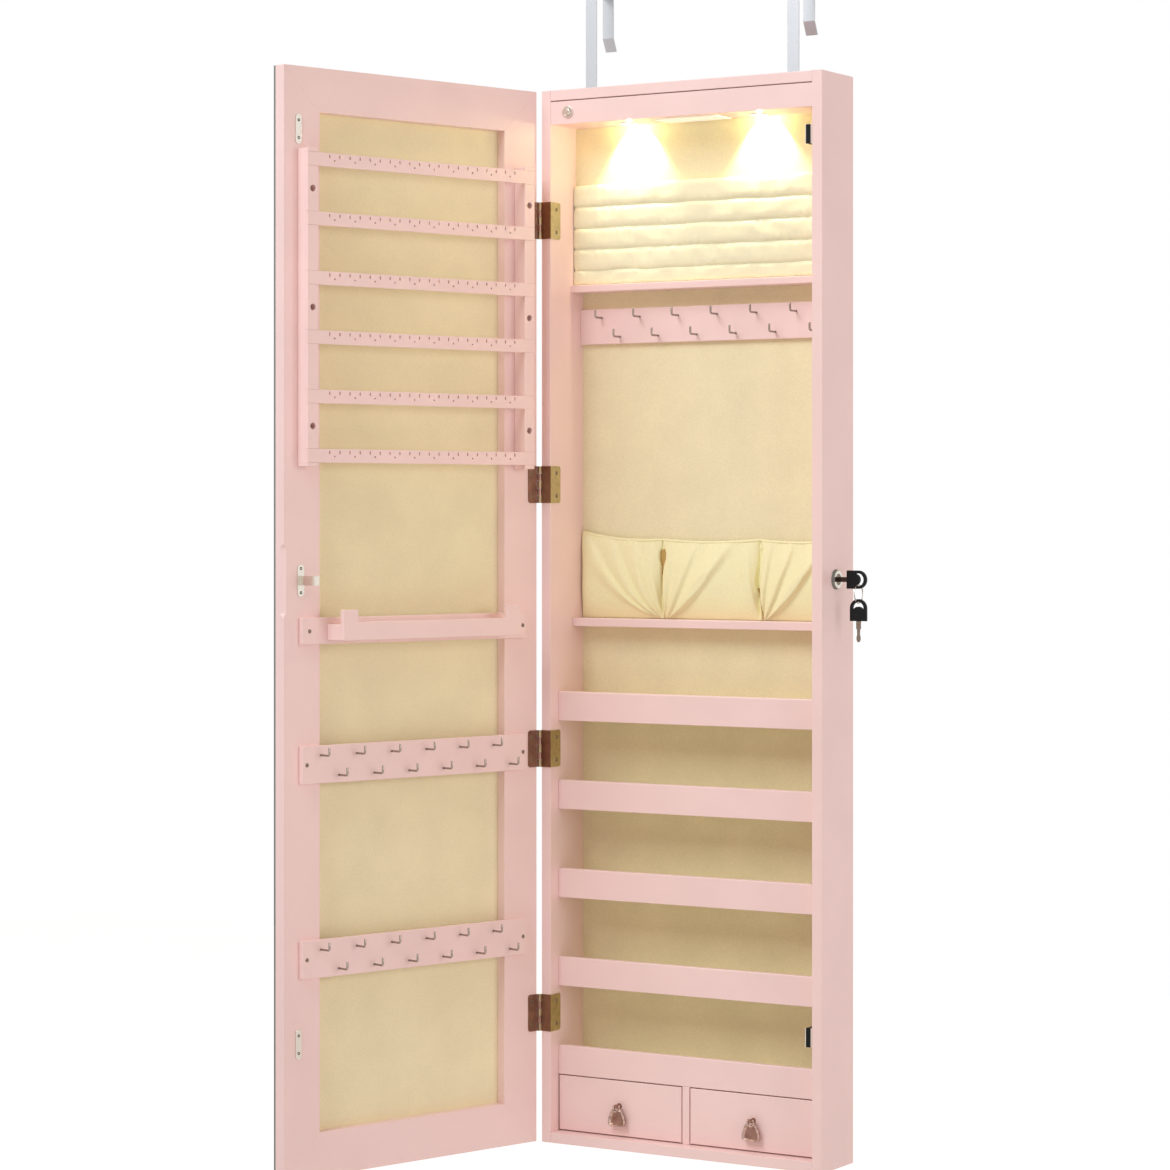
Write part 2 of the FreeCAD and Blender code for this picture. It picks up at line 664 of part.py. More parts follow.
def drop_face(pivot, neck, inset):
    """Bell outline of the drop: narrow at its neck, widest low down, with a bowed foot."""
    half = PULL_W / 2 - inset
    top = -neck - inset
    foot = -PULL_H + inset
    wide = foot + (PULL_H - neck) * 0.22
    narrow = PULL_STUD_R + FIT + PULL_EYE_W - inset / 2

    def at(x, z):
        return pivot + V(x, 0, z)

    edges = [Part.LineSegment(at(narrow, top), at(-narrow, top)).toShape()]
    for sign in (-1, 1):
        waist = at(sign * (narrow + half) * 0.53, (top + wide) / 2)
        corner = at(sign * half * 0.94, foot + (wide - foot) * 0.36)
        edges.append(Part.Arc(at(sign * narrow, top), waist, at(sign * half, wide)).toShape())
        edges.append(Part.Arc(at(sign * half, wide), corner, at(sign * half * 0.72, foot)).toShape())
    edges.append(Part.LineSegment(at(-half * 0.72, foot), at(half * 0.72, foot)).toShape())
    return Part.Face(Part.Wire(Part.__sortEdges__(edges)))


def pull(x, z, face, name):
    """Stud with a cross pin, and a dished bell-shaped drop hanging from it."""
    pivot = V(x, face - PULL_REACH, z)
    rose = faceted_rod(PULL_ROSE_R, V(x, face - PULL_ROSE_T, z), V(x, face, z))
    stem = faceted_rod(PULL_STUD_R, pivot - BACK * PULL_STUD_END, V(x, face, z))
    inner = PULL_STUD_R + FIT
    outer = inner + PULL_EYE_W
    pin = faceted_rod(PULL_PIN_R, pivot - RIGHT * outer, pivot + RIGHT * outer)
    save(name + "_pull_stud", fuse([rose, stem, pin]))

    neck = math.hypot(PULL_STUD_R, PULL_STUD_END) + FIT
    front = BACK * (-PULL_T / 2)
    plate = drop_face(pivot + front, neck, 0).extrude(BACK * PULL_T)
    dish = drop_face(pivot + front, neck, PULL_RIM).extrude(BACK * PULL_DISH)
    pieces = [plate.cut(dish)]
    for sign in (-1, 1):
        x0, x1 = sorted((x + sign * inner, x + sign * outer))
        pieces.append(faceted_rod(PULL_EYE_R, V(x0, pivot.y, z), V(x1, pivot.y, z)))
        pieces.append(box(x0, x1, pivot.y - PULL_T / 2, pivot.y + PULL_T / 2, z - neck, z))
    bore = faceted_bore(PULL_PIN_R + PLUG_PLAY, pivot - RIGHT * (outer + 1),
                        pivot + RIGHT * (outer + 1))
    save(name + "_pull", fuse(pieces).cut(bore))


# ---- door --------------------------------------------------------------------
def frame_member(corners, inner_lap):
    """Mitred frame board seen from the front, with a rebate for the lining panel."""
    front = DOOR_IN - DOOR_FRAME_T
    board = prism([V(x, front, z) for x, z in corners], BACK * DOOR_FRAME_T)
    return board.cut(inner_lap)


def door_frame():
    """Four mitred boards round the lining panel, under a frameless mirror."""
    x, low, high, w = DOOR_X, DOOR_LOW, DOOR_HIGH, FRAME_W
    ix, il, ih = x - w, low + w, high - w
    lap = BACK_LAP
    panel_y = DOOR_IN - PANEL_SET
    rebate = box(-ix - lap, ix + lap, panel_y - PANEL_T, panel_y, il - lap, ih + lap)
    boards = {
        "door_stile_hinge_side": [(-x, low), (-ix, il), (-ix, ih), (-x, high)],
        "door_stile_lock_side": [(x, low), (x, high), (ix, ih), (ix, il)],
        "door_rail_top": [(-x, high), (-ix, ih), (ix, ih), (x, high)],
        "door_rail_bottom": [(-x, low), (x, low), (ix, il), (-ix, il)],
    }
    for name, corners in boards.items():
        board = frame_member(corners, rebate)
        if name == "door_stile_lock_side":
            board = board.cut(finger_groove())
        save(name, board)
    save("door_lining_panel", rebate)
    front = DOOR_IN - DOOR_FRAME_T
    save("mirror", box(-x, x, front - MIRROR_T, front, low, high))


def finger_groove():
    """Scoop milled along the free edge's inner arris."""
    low = BASE + GRIP_LOW
    high = BASE + GRIP_HIGH
    centre_x = DOOR_X + GRIP_R - GRIP_DEEP
    bar = rod(GRIP_R, V(centre_x, DOOR_IN, low + GRIP_R), V(centre_x, DOOR_IN, high - GRIP_R))
    ends = [Part.makeSphere(GRIP_R, V(centre_x, DOOR_IN, z)) for z in (low + GRIP_R, high - GRIP_R)]
    return fuse([bar] + ends)


def earring_holder():
    """Two stiles with six drilled and slotted slats let in flush."""
    half = DOOR_X - HOLDER_SIDE
    low = BASE + HOLDER_LOW
    high = CASE_H / 2 - HOLDER_DROP
    face = DOOR_IN + HOLDER_T
    first = low + SLAT_END + SLAT_H
    pitch = (high - SLAT_END - first) / (SLATS - 1)
    tops = [first + i * pitch for i in range(SLATS)]
    bores = (high - low - 2 * STILE_BORE_END) / (STILE_BORES - 1)
    stiles = []
    for sign in (-1, 1):
        x0, x1 = sorted((sign * half, sign * (half - HOLDER_STILE)))
        stile = box(x0, x1, DOOR_IN, face, low, high)
        for top in tops:
            stile = stile.cut(box(x0 - 1, x1 + 1, face - SLAT_T, face + 1, top - SLAT_H, top))
        for i in range(STILE_BORES):
            mouth = V((x0 + x1) / 2, face + 1, low + STILE_BORE_END + i * bores)
            stile = stile.cut(faceted_rod(STILE_BORE_R, mouth, mouth - BACK * (STILE_BORE_DEEP + 1)))
        stiles.append(stile)
    save("earring_holder_stiles", stiles)
    save("earring_slats", [slat(half, face, top) for top in tops])


def slat(half, face, top):
    """Slat with a row of short slots for hooks and post holes between every other pair."""
    board = box(-half, half, face - SLAT_T, face, top - SLAT_H, top)
    span = 2 * (half - HOLDER_STILE - EAR_MARGIN)
    step = span / (EAR_SLOTS - 1)
    cuts = []
    for i in range(EAR_SLOTS):
        x = -span / 2 + i * step
        cuts.append(box(x - EAR_SLOT_W / 2, x + EAR_SLOT_W / 2, face - SLAT_T - 1, face + 1,
                        top - EAR_SLOT_DROP - EAR_SLOT_H, top - EAR_SLOT_DROP))
    for i in range(EAR_HOLES):
        x = -span / 2 + (2 * i + 0.5) * step
        at = V(x, face - SLAT_T - 1, top - EAR_HOLE_DROP)
        hole = polygon(at, EAR_HOLE_R, EAR_HOLE_SIDES, RIGHT, UP)
        cuts.append(Part.Face(hole).extrude(BACK * (SLAT_T + 2)))
    return board.cut(Part.makeCompound(cuts))


def bracelet_rack():
    """Back board on the door, two spacers, and a bar with raised ends."""
    low = BASE + BRACELET_LOW
    face = DOOR_IN + RAIL_T
    board = box(-BOARD_X, BOARD_X, DOOR_IN, face, low, low + BRACELET_H)
    half = BOARD_X - BAR_IN
    bottom = BASE + BAR_LOW
    top = bottom + BAR_H
    outline = [(-half, bottom), (half, bottom), (half, top + BAR_EAR), (half - BAR_EAR_W, top + BAR_EAR),
               (half - BAR_EAR_W, top), (-half + BAR_EAR_W, top), (-half + BAR_EAR_W, top + BAR_EAR),
               (-half, top + BAR_EAR)]
    back = DOOR_IN + BAR_OUT - BAR_T
    save("bracelet_bar", prism([V(x, back, z) for x, z in outline], BACK * BAR_T))
    spacers = []
    for sign in (-1, 1):
        x0, x1 = sorted((sign * half, sign * (half - BAR_EAR_W)))
        spacers.append(box(x0, x1, face, back, bottom, bottom + SPACER_H))
    save("bracelet_board", [board] + spacers)


def obround_plate(x, z, width, length, face, thick):
    """Plate with round ends, standing on the door's inner face."""
    r = width / 2
    middle = box(x - r, x + r, face, face + thick, z - length / 2 + r, z + length / 2 - r)
    ends = [Part.makeCylinder(r, thick, V(x, face, z + s * (length / 2 - r)), BACK) for s in (-1, 1)]
    return fuse([middle] + ends)


def door_strikes():
    """Two catch plates and the lock's tongue, whose lip the cam hooks behind."""
    pieces = [obround_plate(STRIKE_X, z, STRIKE_W, STRIKE_L, DOOR_IN, STRIKE_T) for z in CATCH_Z]
    plate = obround_plate(TONGUE_X, LOCK_ZC, LOCK_PLATE_W, LOCK_PLATE_L, DOOR_IN, STRIKE_T)
    end = DOOR_IN + STRIKE_TONGUE
    low = LOCK_ZC - TONGUE_H / 2
    tongue = box(TONGUE_X - TONGUE_T / 2, TONGUE_X + TONGUE_T / 2, DOOR_IN, end, low, low + TONGUE_H)
    lip = box(TONGUE_X - TONGUE_LIP, TONGUE_X, end - TONGUE_T, end, low, low + TONGUE_H)
    save("door_strikes", pieces + [fuse([plate, tongue, lip])])


# ---- hinges ------------------------------------------------------------------
def hinge_levels():
    """Bottom and top of each knuckle of one hinge, counted from its middle."""
    step = HINGE_H / KNUCKLES
    return [(-HINGE_H / 2 + i * step + KNUCKLE_GAP / 2, -HINGE_H / 2 + (i + 1) * step - KNUCKLE_GAP / 2)
            for i in range(KNUCKLES)]


def knuckle(z0, z1):
    """Rolled end of a leaf round its pin."""
    tube = faceted_rod(KNUCKLE_R, V(PIN_X, PIN_Y, z0), V(PIN_X, PIN_Y, z1))
    return tube.cut(faceted_bore(PIN_R + PIN_PLAY, V(PIN_X, PIN_Y, z0 - 1), V(PIN_X, PIN_Y, z1 + 1)))


def clear_of_knuckle(z0, z1):
    """Notch in the case leaf where a knuckle of the door leaf turns."""
    reach = KNUCKLE_R + KNUCKLE_GAP
    return faceted_bore(reach, V(PIN_X, PIN_Y, z0 - KNUCKLE_GAP), V(PIN_X, PIN_Y, z1 + KNUCKLE_GAP))


def hinges():
    """Four butt hinges. The case leaf wraps round the side board's front edge."""
    case_leaves = []
    door_leaves = []
    pins = []
    t = HINGE_LEAF_T
    pitch = (CASE_H - 2 * HINGE_END) / (HINGES - 1)
    for n in range(HINGES):
        z = BASE + HINGE_END + n * pitch
        low, high = z - HINGE_H / 2, z + HINGE_H / 2
        face = box(-HALF_W, -IN_X + t, FRONT - t, FRONT, low, high)
        face = face.cut([clear_of_knuckle(z + z0, z + z1) for z0, z1 in hinge_levels()[1::2]])
        wrap = box(-IN_X, -IN_X + t, FRONT, FRONT + HINGE_WRAP, low, high)
        far = [e for e in wrap.Edges
               if abs(e.CenterOfMass.y - FRONT - HINGE_WRAP) < FIT and abs(e.Length - t) < FIT]
        case_leaf = [face, wrap.makeChamfer(HINGE_CORNER, far)]
        plate = box(-DOOR_X, -DOOR_X + HINGE_DOOR_LEAF, DOOR_IN, DOOR_IN + t, low, high)
        far = [e for e in plate.Edges
               if abs(e.CenterOfMass.x + DOOR_X - HINGE_DOOR_LEAF) < FIT and abs(e.Length - t) < FIT]
        door_leaf = [plate.makeChamfer(HINGE_CORNER, far)]
        for i, (z0, z1) in enumerate(hinge_levels()):
            if i % 2 == 0:
                case_leaf.append(knuckle(z + z0, z + z1))
                case_leaf.append(box(PIN_X + LEAF_ROOT, -HALF_W, FRONT - t, FRONT, z + z0, z + z1))
            else:
                door_leaf.append(knuckle(z + z0, z + z1))
                door_leaf.append(box(PIN_X + LEAF_ROOT, -DOOR_X, DOOR_IN, DOOR_IN + t, z + z0, z + z1))
        case_leaves.append(fuse(case_leaf))
        door_leaves.append(fuse(door_leaf))
        pins.append(faceted_rod(PIN_R, V(PIN_X, PIN_Y, low), V(PIN_X, PIN_Y, high)))
    save("hinge_case_leaves", case_leaves)
    save("hinge_door_leaves", door_leaves)
    save("hinge_pins", pins)


# ---- catches -----------------------------------------------------------------
def catches():
    """Magnets in black bodies between two steel plates, inside the right wall."""
    bodies = []
    plates = []
    front = DOOR_IN + STRIKE_T + CATCH_TOUCH
    x1 = IN_X
    x0 = x1 - CATCH_W
    for z in CATCH_Z:
        low, high = z - CATCH_H / 2, z + CATCH_H / 2
        bodies.append(box(x0 + CATCH_PLATE_T, x1 - CATCH_PLATE_T, front + CATCH_PLATE_OUT,
                          front + CATCH_DEEP, low, high))
        plates.append(box(x0, x0 + CATCH_PLATE_T, front, front + CATCH_DEEP, low, high))
        plates.append(box(x1 - CATCH_PLATE_T, x1, front, front + CATCH_DEEP, low, high))
    save("catch_bodies", bodies)
    save("catch_plates", plates)


# ---- lock and keys -------------------------------------------------------------
def lock():
    """Barrel through the right side, nut inside, turning plug, and a hooked cam."""
    outside = V(HALF_W, LOCK_Y, LOCK_ZC)
    inside = V(IN_X - LOCK_INSIDE, LOCK_Y, LOCK_ZC)
    flange = Part.makeCone(LOCK_FLANGE_R, LOCK_FLANGE_R - LOCK_FLANGE_SLOPE, LOCK_FLANGE_T, outside, RIGHT)
    barrel = faceted_rod(LOCK_BARREL_R, inside, outside)
    bore = faceted_bore(PLUG_R + PLUG_PLAY, inside - RIGHT, outside + RIGHT * (LOCK_FLANGE_T + 1))
    body = fuse([flange, barrel]).cut(bore)
    nut_points = []
    for i in range(6):
        a = math.radians(60 * i)
        nut_points.append(V(IN_X - LOCK_NUT_T, LOCK_Y + LOCK_NUT_R * math.cos(a),
                            LOCK_ZC + LOCK_NUT_R * math.sin(a)))
    nut = prism(nut_points, RIGHT * LOCK_NUT_T)
    save("lock_body", [body, nut.cut(faceted_rod(LOCK_BARREL_R, inside - RIGHT, outside))])
    cam_face = inside - RIGHT * FIT
    slot_w = KEY_BLADE_T + 2 * PLUG_PLAY
    slot_h = KEY_BLADE_W + 2 * PLUG_PLAY
    plug = rod(PLUG_R, cam_face, outside + RIGHT * (LOCK_FLANGE_T - FIT))
    slot = box(IN_X, HALF_W + LOCK_FLANGE_T + 1, LOCK_Y - slot_w / 2, LOCK_Y + slot_w / 2,
               LOCK_ZC - slot_h / 2, LOCK_ZC + slot_h / 2)
    save("lock_plug", plug.cut(slot))
    save("lock_cam", cam(cam_face - RIGHT * CAM_T))


def ring_sector(centre, r_in, r_out, first, last, thick):
    """Flat ring sector in the Y-Z plane; angles from +Y towards +Z, in degrees."""
    def at(r, deg):
        a = math.radians(deg)
        return centre + V(0, r * math.cos(a), r * math.sin(a))
    middle = (first + last) / 2
    edges = [Part.Arc(at(r_out, first), at(r_out, middle), at(r_out, last)).toShape(),
             Part.LineSegment(at(r_out, last), at(r_in, last)).toShape(),
             Part.Arc(at(r_in, last), at(r_in, middle), at(r_in, first)).toShape(),
             Part.LineSegment(at(r_in, first), at(r_out, first)).toShape()]
    return Part.Face(Part.Wire(edges)).extrude(RIGHT * thick)


def cam(centre):
    """Hub, an arm pointing back, and a hook that swings round in front of the strike's lip."""
    hub = faceted_rod(CAM_HUB_R, centre, centre + RIGHT * CAM_T)
    half = CAM_HUB_R / 2
    arm = box(centre.x, centre.x + CAM_T, centre.y, centre.y + (CAM_IN + CAM_OUT) / 2,
              centre.z - half, centre.z + half)
    hook_part = ring_sector(centre, CAM_IN, CAM_OUT, *CAM_SPAN, CAM_T)
    return fuse([hub, arm, hook_part])


def key_head(tip_centre, along, across):
    """Moulded D-shaped head; tip_centre is the centre of its round end."""
    r = KEY_W / 2
    start = tip_centre - along * (KEY_L - r)
    thick = along.cross(across).normalize() * KEY_T
    p0 = start + across * r
    p1 = tip_centre + across * r
    p2 = tip_centre + along * r
    p3 = tip_centre - across * r
    p4 = start - across * r
    edges = [Part.LineSegment(p0, p1).toShape(), Part.Arc(p1, p2, p3).toShape(),
             Part.LineSegment(p3, p4).toShape(), Part.LineSegment(p4, p0).toShape()]
    head = Part.Face(Part.Wire(edges)).extrude(thick)
    head.translate(thick * -0.5)
    rims = [e for e in head.Edges if abs((e.CenterOfMass - start).dot(thick)) > KEY_T * KEY_T * 0.4]
    head = head.makeChamfer(KEY_EDGE, rims)
    outer = Part.makeCylinder(KEY_HOLE_R, KEY_T * 3, tip_centre - thick * 1.5, thick)
    waist = tip_centre - along * KEY_HOLE_SHIFT
    inner = Part.makeCylinder(KEY_HOLE_IN_R, KEY_T * 3, waist - thick * 1.5, thick)
    return head.cut(outer.cut(inner))


def key_blade(root, along, across, length):
    """Blade with a shoulder, a narrow neck and a rounded bulb at its end."""
    w = KEY_BLADE_W / 2
    stops = ((0.0, w), (length * 0.34, w), (length * 0.42, w * 0.6), (length * 0.66, w * 0.55),
             (length * 0.76, w * 0.85), (length * 0.9, w * 0.8), (length, w * 0.3))
    upper = [root + along * s + across * h for s, h in stops]
    lower = [root + along * s - across * h for s, h in reversed(stops)]
    thick = along.cross(across).normalize() * KEY_BLADE_T
    blade = prism(upper + lower, thick)
    blade.translate(thick * -0.5)
    return blade


def key_places():
    """Centres of the two heads' round ends and of the ring."""
    face = HALF_W + LOCK_FLANGE_T + KEY_OUT
    head_c = V(face + KEY_L - KEY_W / 2, LOCK_Y, LOCK_ZC)
    drop = KEY_HOLE_R - RING_WIRE_R - RING_CLEAR
    ring_top = head_c - UP * drop
    ring_c = ring_top - UP * RING_R
    spare_c = ring_c - UP * (RING_R + drop)
    return head_c, ring_c, spare_c


def wire_ring(centre):
    """Ring of round wire in the Y-Z plane, as two half loops of short straight lengths."""
    halves = []
    for half in (0, 1):
        wires = []
        for i in range(RING_FLATS + 1):
            a = math.pi * (half + i / RING_FLATS)
            out = V(0, math.cos(a), math.sin(a))
            wires.append(polygon(centre + out * RING_R, RING_WIRE_R, RING_SIDES, RIGHT, out))
        halves.append(Part.makeLoft(wires, True, True))
    return fuse(halves)


def keys():
    """One key in the lock, a wire ring through its head, and a spare key hanging on it."""
    head_c, ring_c, spare_c = key_places()
    save("key_head", key_head(head_c, RIGHT, UP))
    root = head_c - RIGHT * (KEY_L - KEY_W / 2)
    save("key_blade", box(IN_X + FIT, root.x, LOCK_Y - KEY_BLADE_T / 2, LOCK_Y + KEY_BLADE_T / 2,
                          LOCK_ZC - KEY_BLADE_W / 2, LOCK_ZC + KEY_BLADE_W / 2))
    save("key_ring", wire_ring(ring_c))
    down = UP * -1
    save("spare_key_head", key_head(spare_c, UP, RIGHT))
    save("spare_key_blade", key_blade(spare_c + down * (KEY_L - KEY_W / 2), down, RIGHT, KEY_BLADE_L))


# ---- hangers -----------------------------------------------------------------
def hanger(x):
    """Strap let flush into the case's back and bent over the room's door, with a turned-out lip."""
    t = HANGER_T
    top = -BASE + HANGER_UP
    back = HANGER_SLOT
    leg = top - HANGER_LEG
    lip_y = back + HANGER_LIP_OUT
    lip_z = leg - HANGER_LIP
    foot = -BASE - HANGER_DOWN
    outer = [V(x, -t, foot), V(x, -t, top + t), V(x, back + t, top + t), V(x, back + t, leg),
             V(x, lip_y + t, lip_z), V(x, lip_y, lip_z), V(x, back, leg), V(x, back, top),
             V(x, 0, top), V(x, 0, foot)]
    strap = prism(outer, RIGHT * HANGER_W)
    bends = [e for e in strap.Edges
             if abs(e.CenterOfMass.z - top - t) < FIT and abs(e.Length - HANGER_W) < FIT
             and (abs(e.CenterOfMass.y + t) < FIT or abs(e.CenterOfMass.y - back - t) < FIT)]
    strap = strap.makeFillet(HANGER_BEND, bends)
    for down in HANGER_HOLES:
        at = V(x + HANGER_W / 2, 1, -BASE - down)
        strap = strap.cut(faceted_rod(HANGER_HOLE_R, at, at - BACK * (t + 2)))
    return strap


def hanger_starts():
    """Left edges of the two straps."""
    middles = (HANGER_IN[0] - HALF_W, HALF_W - HANGER_IN[1])
    return [x - HANGER_W / 2 for x in middles]


def hanger_seats():
    """Shallow channels in the case's back that the straps lie in, flush with it."""
    low = -BASE - HANGER_DOWN - FIT
    return Part.makeCompound([box(x - FIT, x + HANGER_W + FIT, -HANGER_T, 1, low, -BASE + 1)
                              for x in hanger_starts()])


def hangers():
    save("over_door_hooks", [hanger(x) for x in hanger_starts()])


# ---- everything --------------------------------------------------------------
DOOR_NODES = ("door_stile_hinge_side", "door_stile_lock_side", "door_rail_top", "door_rail_bottom",
              "door_lining_panel", "mirror", "earring_holder_stiles", "earring_slats",
              "bracelet_board", "bracelet_bar", "door_hook_rails", "door_hooks",
              "door_strikes", "hinge_door_leaves")


def build():
    case_boards()
    back_lining()
    shelf("shelf_upper", SHELF_UP, SHELF_UP_T, SHELF_UP_SET)
    shelf("shelf_lower", SHELF_LOW, SHELF_LOW_T, SHELF_LOW_SET)
    racks()
    ring_pad()
    ring_rolls()
    light_box()
    necklace_rail()
    necklace_pouch()
    drawer_divider()
    drawer("drawer_left", -1)
    drawer("drawer_right", 1)
    door_frame()
    earring_holder()
    bracelet_rack()
    door_hook_rails()
    door_strikes()
    hinges()
    catches()
    lock()
    keys()
    hangers()


def open_door():
    """Turn everything on the door about the hinge pins to the angle it rests at."""
    for name in DOOR_NODES:
        PARTS[name].rotate(V(PIN_X, PIN_Y, 0), UP, -OPEN_ANGLE)


build()
open_door()
os.makedirs("parts", exist_ok=True)
for node, shape in PARTS.items():
    shape.exportStep("parts/%s.step" % node)
print("%d nodes" % len(PARTS))
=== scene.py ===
"""Looks of a shallow jewelry cabinet with a mirror door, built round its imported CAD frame.

Metres. +X to the right, +Y back towards the wall, +Z up. The origin is the centre of the
case's back face. The door hangs open; everything on it is worked out on the closed door
and then turned open about the hinge pins.
"""
import json
import math

import bmesh
import bpy
import numpy as np
from bpy.props import FloatProperty, FloatVectorProperty, IntProperty, PointerProperty
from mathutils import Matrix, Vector


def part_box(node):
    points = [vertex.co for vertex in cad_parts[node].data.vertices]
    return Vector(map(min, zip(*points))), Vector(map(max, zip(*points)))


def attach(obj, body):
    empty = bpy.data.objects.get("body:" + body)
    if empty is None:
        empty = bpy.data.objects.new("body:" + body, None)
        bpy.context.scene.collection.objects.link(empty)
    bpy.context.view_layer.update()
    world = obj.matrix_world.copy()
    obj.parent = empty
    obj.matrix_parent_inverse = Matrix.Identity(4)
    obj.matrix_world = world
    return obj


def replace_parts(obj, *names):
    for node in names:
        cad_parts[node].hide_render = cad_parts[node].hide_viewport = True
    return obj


bl_info = {
    "name": "Jewelry mirror cabinet",
    "version": (1, 0, 0),
    "blender": (4, 5, 0),
    "location": "View3D > Sidebar > Cabinet",
    "description": "Materials, cloth, small fittings, light and camera round the cabinet's frame",
    "category": "Object",
}

MM = 0.001
SQUARE = np.array([[-1, -1], [1, -1], [1, 1], [-1, 1]])
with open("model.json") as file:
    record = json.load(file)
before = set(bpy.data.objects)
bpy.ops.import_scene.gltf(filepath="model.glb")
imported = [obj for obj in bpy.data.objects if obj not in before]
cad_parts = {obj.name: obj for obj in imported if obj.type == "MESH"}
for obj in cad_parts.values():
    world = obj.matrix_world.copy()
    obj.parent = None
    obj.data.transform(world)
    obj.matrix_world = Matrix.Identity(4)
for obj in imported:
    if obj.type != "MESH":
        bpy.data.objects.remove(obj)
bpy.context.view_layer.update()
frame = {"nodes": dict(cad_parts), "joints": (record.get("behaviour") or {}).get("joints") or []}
JOINTS = {joint["name"]: joint for joint in frame["joints"]}
HINGE = JOINTS["door_hinge"]
DOOR_TURN = math.radians(HINGE["range_deg"][0])   # from closed to the angle it rests at
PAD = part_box("ring_pad_board")
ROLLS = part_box("ring_rolls")
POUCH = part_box("necklace_pouch")
LIGHT_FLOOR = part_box("light_box_floor")
IN_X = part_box("back_lining")[1].x                 # inner face of the right side board
DOOR_IN = -77.4 * MM                              # inner face of the closed door
LAMP_X = 84 * MM
LAMP_Y = (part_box("light_fascia")[1].y + PAD[0].y) / 2
FLOOR_Z = -1.31                                   # the room's floor, under the hung cabinet


# ---- colours and properties ----
def linear(code):
    """sRGB hex code to linear: low values over 12.92, the rest by the 2.4 power curve."""
    parts = np.array([int(code[i:i + 2], 16) for i in (0, 2, 4)]) / 255
    curve = ((parts + 0.055) / 1.055) ** 2.4
    return tuple(float(v) for v in np.where(parts <= 0.04045, parts / 12.92, curve))


def colour(name, description, code):
    """Colour property with its default given as an sRGB hex code."""
    return FloatVectorProperty(name=name, description=description, subtype="COLOR",
                               min=0, max=1, default=linear(code))


def length(name, description, millimetres):
    """Length property with its default given in millimetres."""
    return FloatProperty(name=name, description=description, subtype="DISTANCE",
                         unit="LENGTH", min=0, default=millimetres * MM, precision=5)


def power(name, description, watts):
    """Property for the power of a light, in watts."""
    return FloatProperty(name=name, description=description, unit="POWER", min=0, default=watts)


class CabinetColours(bpy.types.PropertyGroup):
    lacquer: colour("Lacquer", "Sprayed satin lacquer on every board", "FADCD8")
    lining: colour("Lining", "Short-napped cloth on the back and the door panel", "F8EEC6")
    rolls: colour("Ring rolls", "Cloth of the padded ring rolls", "FBF7D4")
    pouch: colour("Pouch", "Gathered cloth of the necklace pouch", "FDF7C6")
    # Darker cloth on the faces deep in the pouch's slits: painted shade.
    pouch_slit_painted_shade: colour("Pouch inside", "Wrong side of the pouch's cloth, in its slits",
                         "C7A55E")
    # The two hinge tones are painted light: a painted highlight inside the case leaves, painted
    # shade on their front.
    brass: colour("Antique brass", "Inside of the hinges' case leaves", "CBBC94")
    brown: colour("Brown bronze", "Front of the hinges' case leaves", "84624E")
    # The pulls' rims are paler than their dish: a painted highlight.
    rim: colour("Rubbed rim", "Raised rims of the drawer pulls", "C0A497")
    bronze: colour("Bronze plate", "Door leaves of the hinges and drawer pulls", "936E60")
    blade: colour("Key blades", "Rubbed brownish steel of the keys' blades", "8A796B")
    nickel: colour("Nickel", "Hooks and key ring", "A39990")
    steel: colour("Plated steel", "Lock, strikes, catches and screws", "E2DACE")
    enamel: colour("Hanger", "Zinc-plated hanging straps", "BFC0C3")
    black: colour("Black plastic", "Key heads and catch bodies", "0B0B0C")
    white: colour("White plastic", "Battery cover, box and lamp barrels", "F6F3E9")
    hardboard: colour("Hardboard", "Bare back board", "A98560")
    lamp: colour("Lamp", "Light of the two small lamps", "FFE9A6")


class CabinetSizes(bpy.types.PropertyGroup):
    edge: length("Board edge", "Width of the softened edge of a lacquered board", 0.7)
    metal_edge: length("Metal edge", "Width of the softened edge of a metal fitting", 0.2)
    pucker: length("Pucker", "Depth of the gathers beside a sewn seam", 1.0)
    pouch_fold: length("Pouch fold", "Depth of the folds that run from a seam", 5.6)
    screw: length("Screw head", "Diameter of a small screw head", 4.6)
    hook_wire: length("Hook wire", "Diameter of a hook's wire", 2.3)
    roll_rows: IntProperty(name="Roll rows", description="Grid rows over one ring roll",
                           min=6, max=40, default=18)


class CabinetLight(bpy.types.PropertyGroup):
    lamp_power: power("Lamp power", "Power of one small lamp", 0.85)
    lamp_glow: power("Lamp glow", "Power spread all round a lamp", 0.11)
    lamp_cone: FloatProperty(name="Lamp cone", description="Full angle of a lamp's beam",
                             subtype="ANGLE", min=0.1, max=3, default=math.radians(100))
    world: FloatProperty(name="World", description="Strength of the even light all round",
                         min=0, default=0.43)
    shade: colour("Shade", "Tint of the even light, warm from the room's walls", "FFE9DE")
    key_power: power("Key", "Power of the large front light", 74)
    fill_power: power("Fill", "Power of the light from the right", 24)


# ---- surfaces ----
def patch(points, around=True, caps=False):
    """Grid of points (rows x columns x 3) as vertices and faces.

    Each face takes four neighbours: row i and i + 1, column j and j + 1. around joins the
    last column to the first. caps closes the first and last row with a fan of triangles to
    the mean of that row's points.
    """
    rows, columns = points.shape[:2]
    index = np.arange(rows * columns).reshape(rows, columns)
    if around:
        index = np.hstack([index, index[:, :1]])
    quads = np.stack([index[:-1, :-1], index[1:, :-1], index[1:, 1:], index[:-1, 1:]], -1)
    verts = points.reshape(-1, 3)
    faces = quads.reshape(-1, 4).tolist()
    if caps:
        for row, turn in ((0, 1), (-1, -1)):
            middle = len(verts)
            verts = np.vstack([verts, points[row].mean(0)[None]])
            ring = index[row]
            fan = np.stack([ring[:-1], ring[1:], np.full(len(ring) - 1, middle)], -1)
            faces += fan[:, ::turn].tolist()
    return verts, faces


def joined(parts):
    """Several (vertices, faces) as one."""
    verts = []
    faces = []
    count = 0
    for points, polygons in parts:
        verts.append(points)
        faces += [[i + count for i in polygon] for polygon in polygons]
        count += len(points)
    return np.vstack(verts), faces


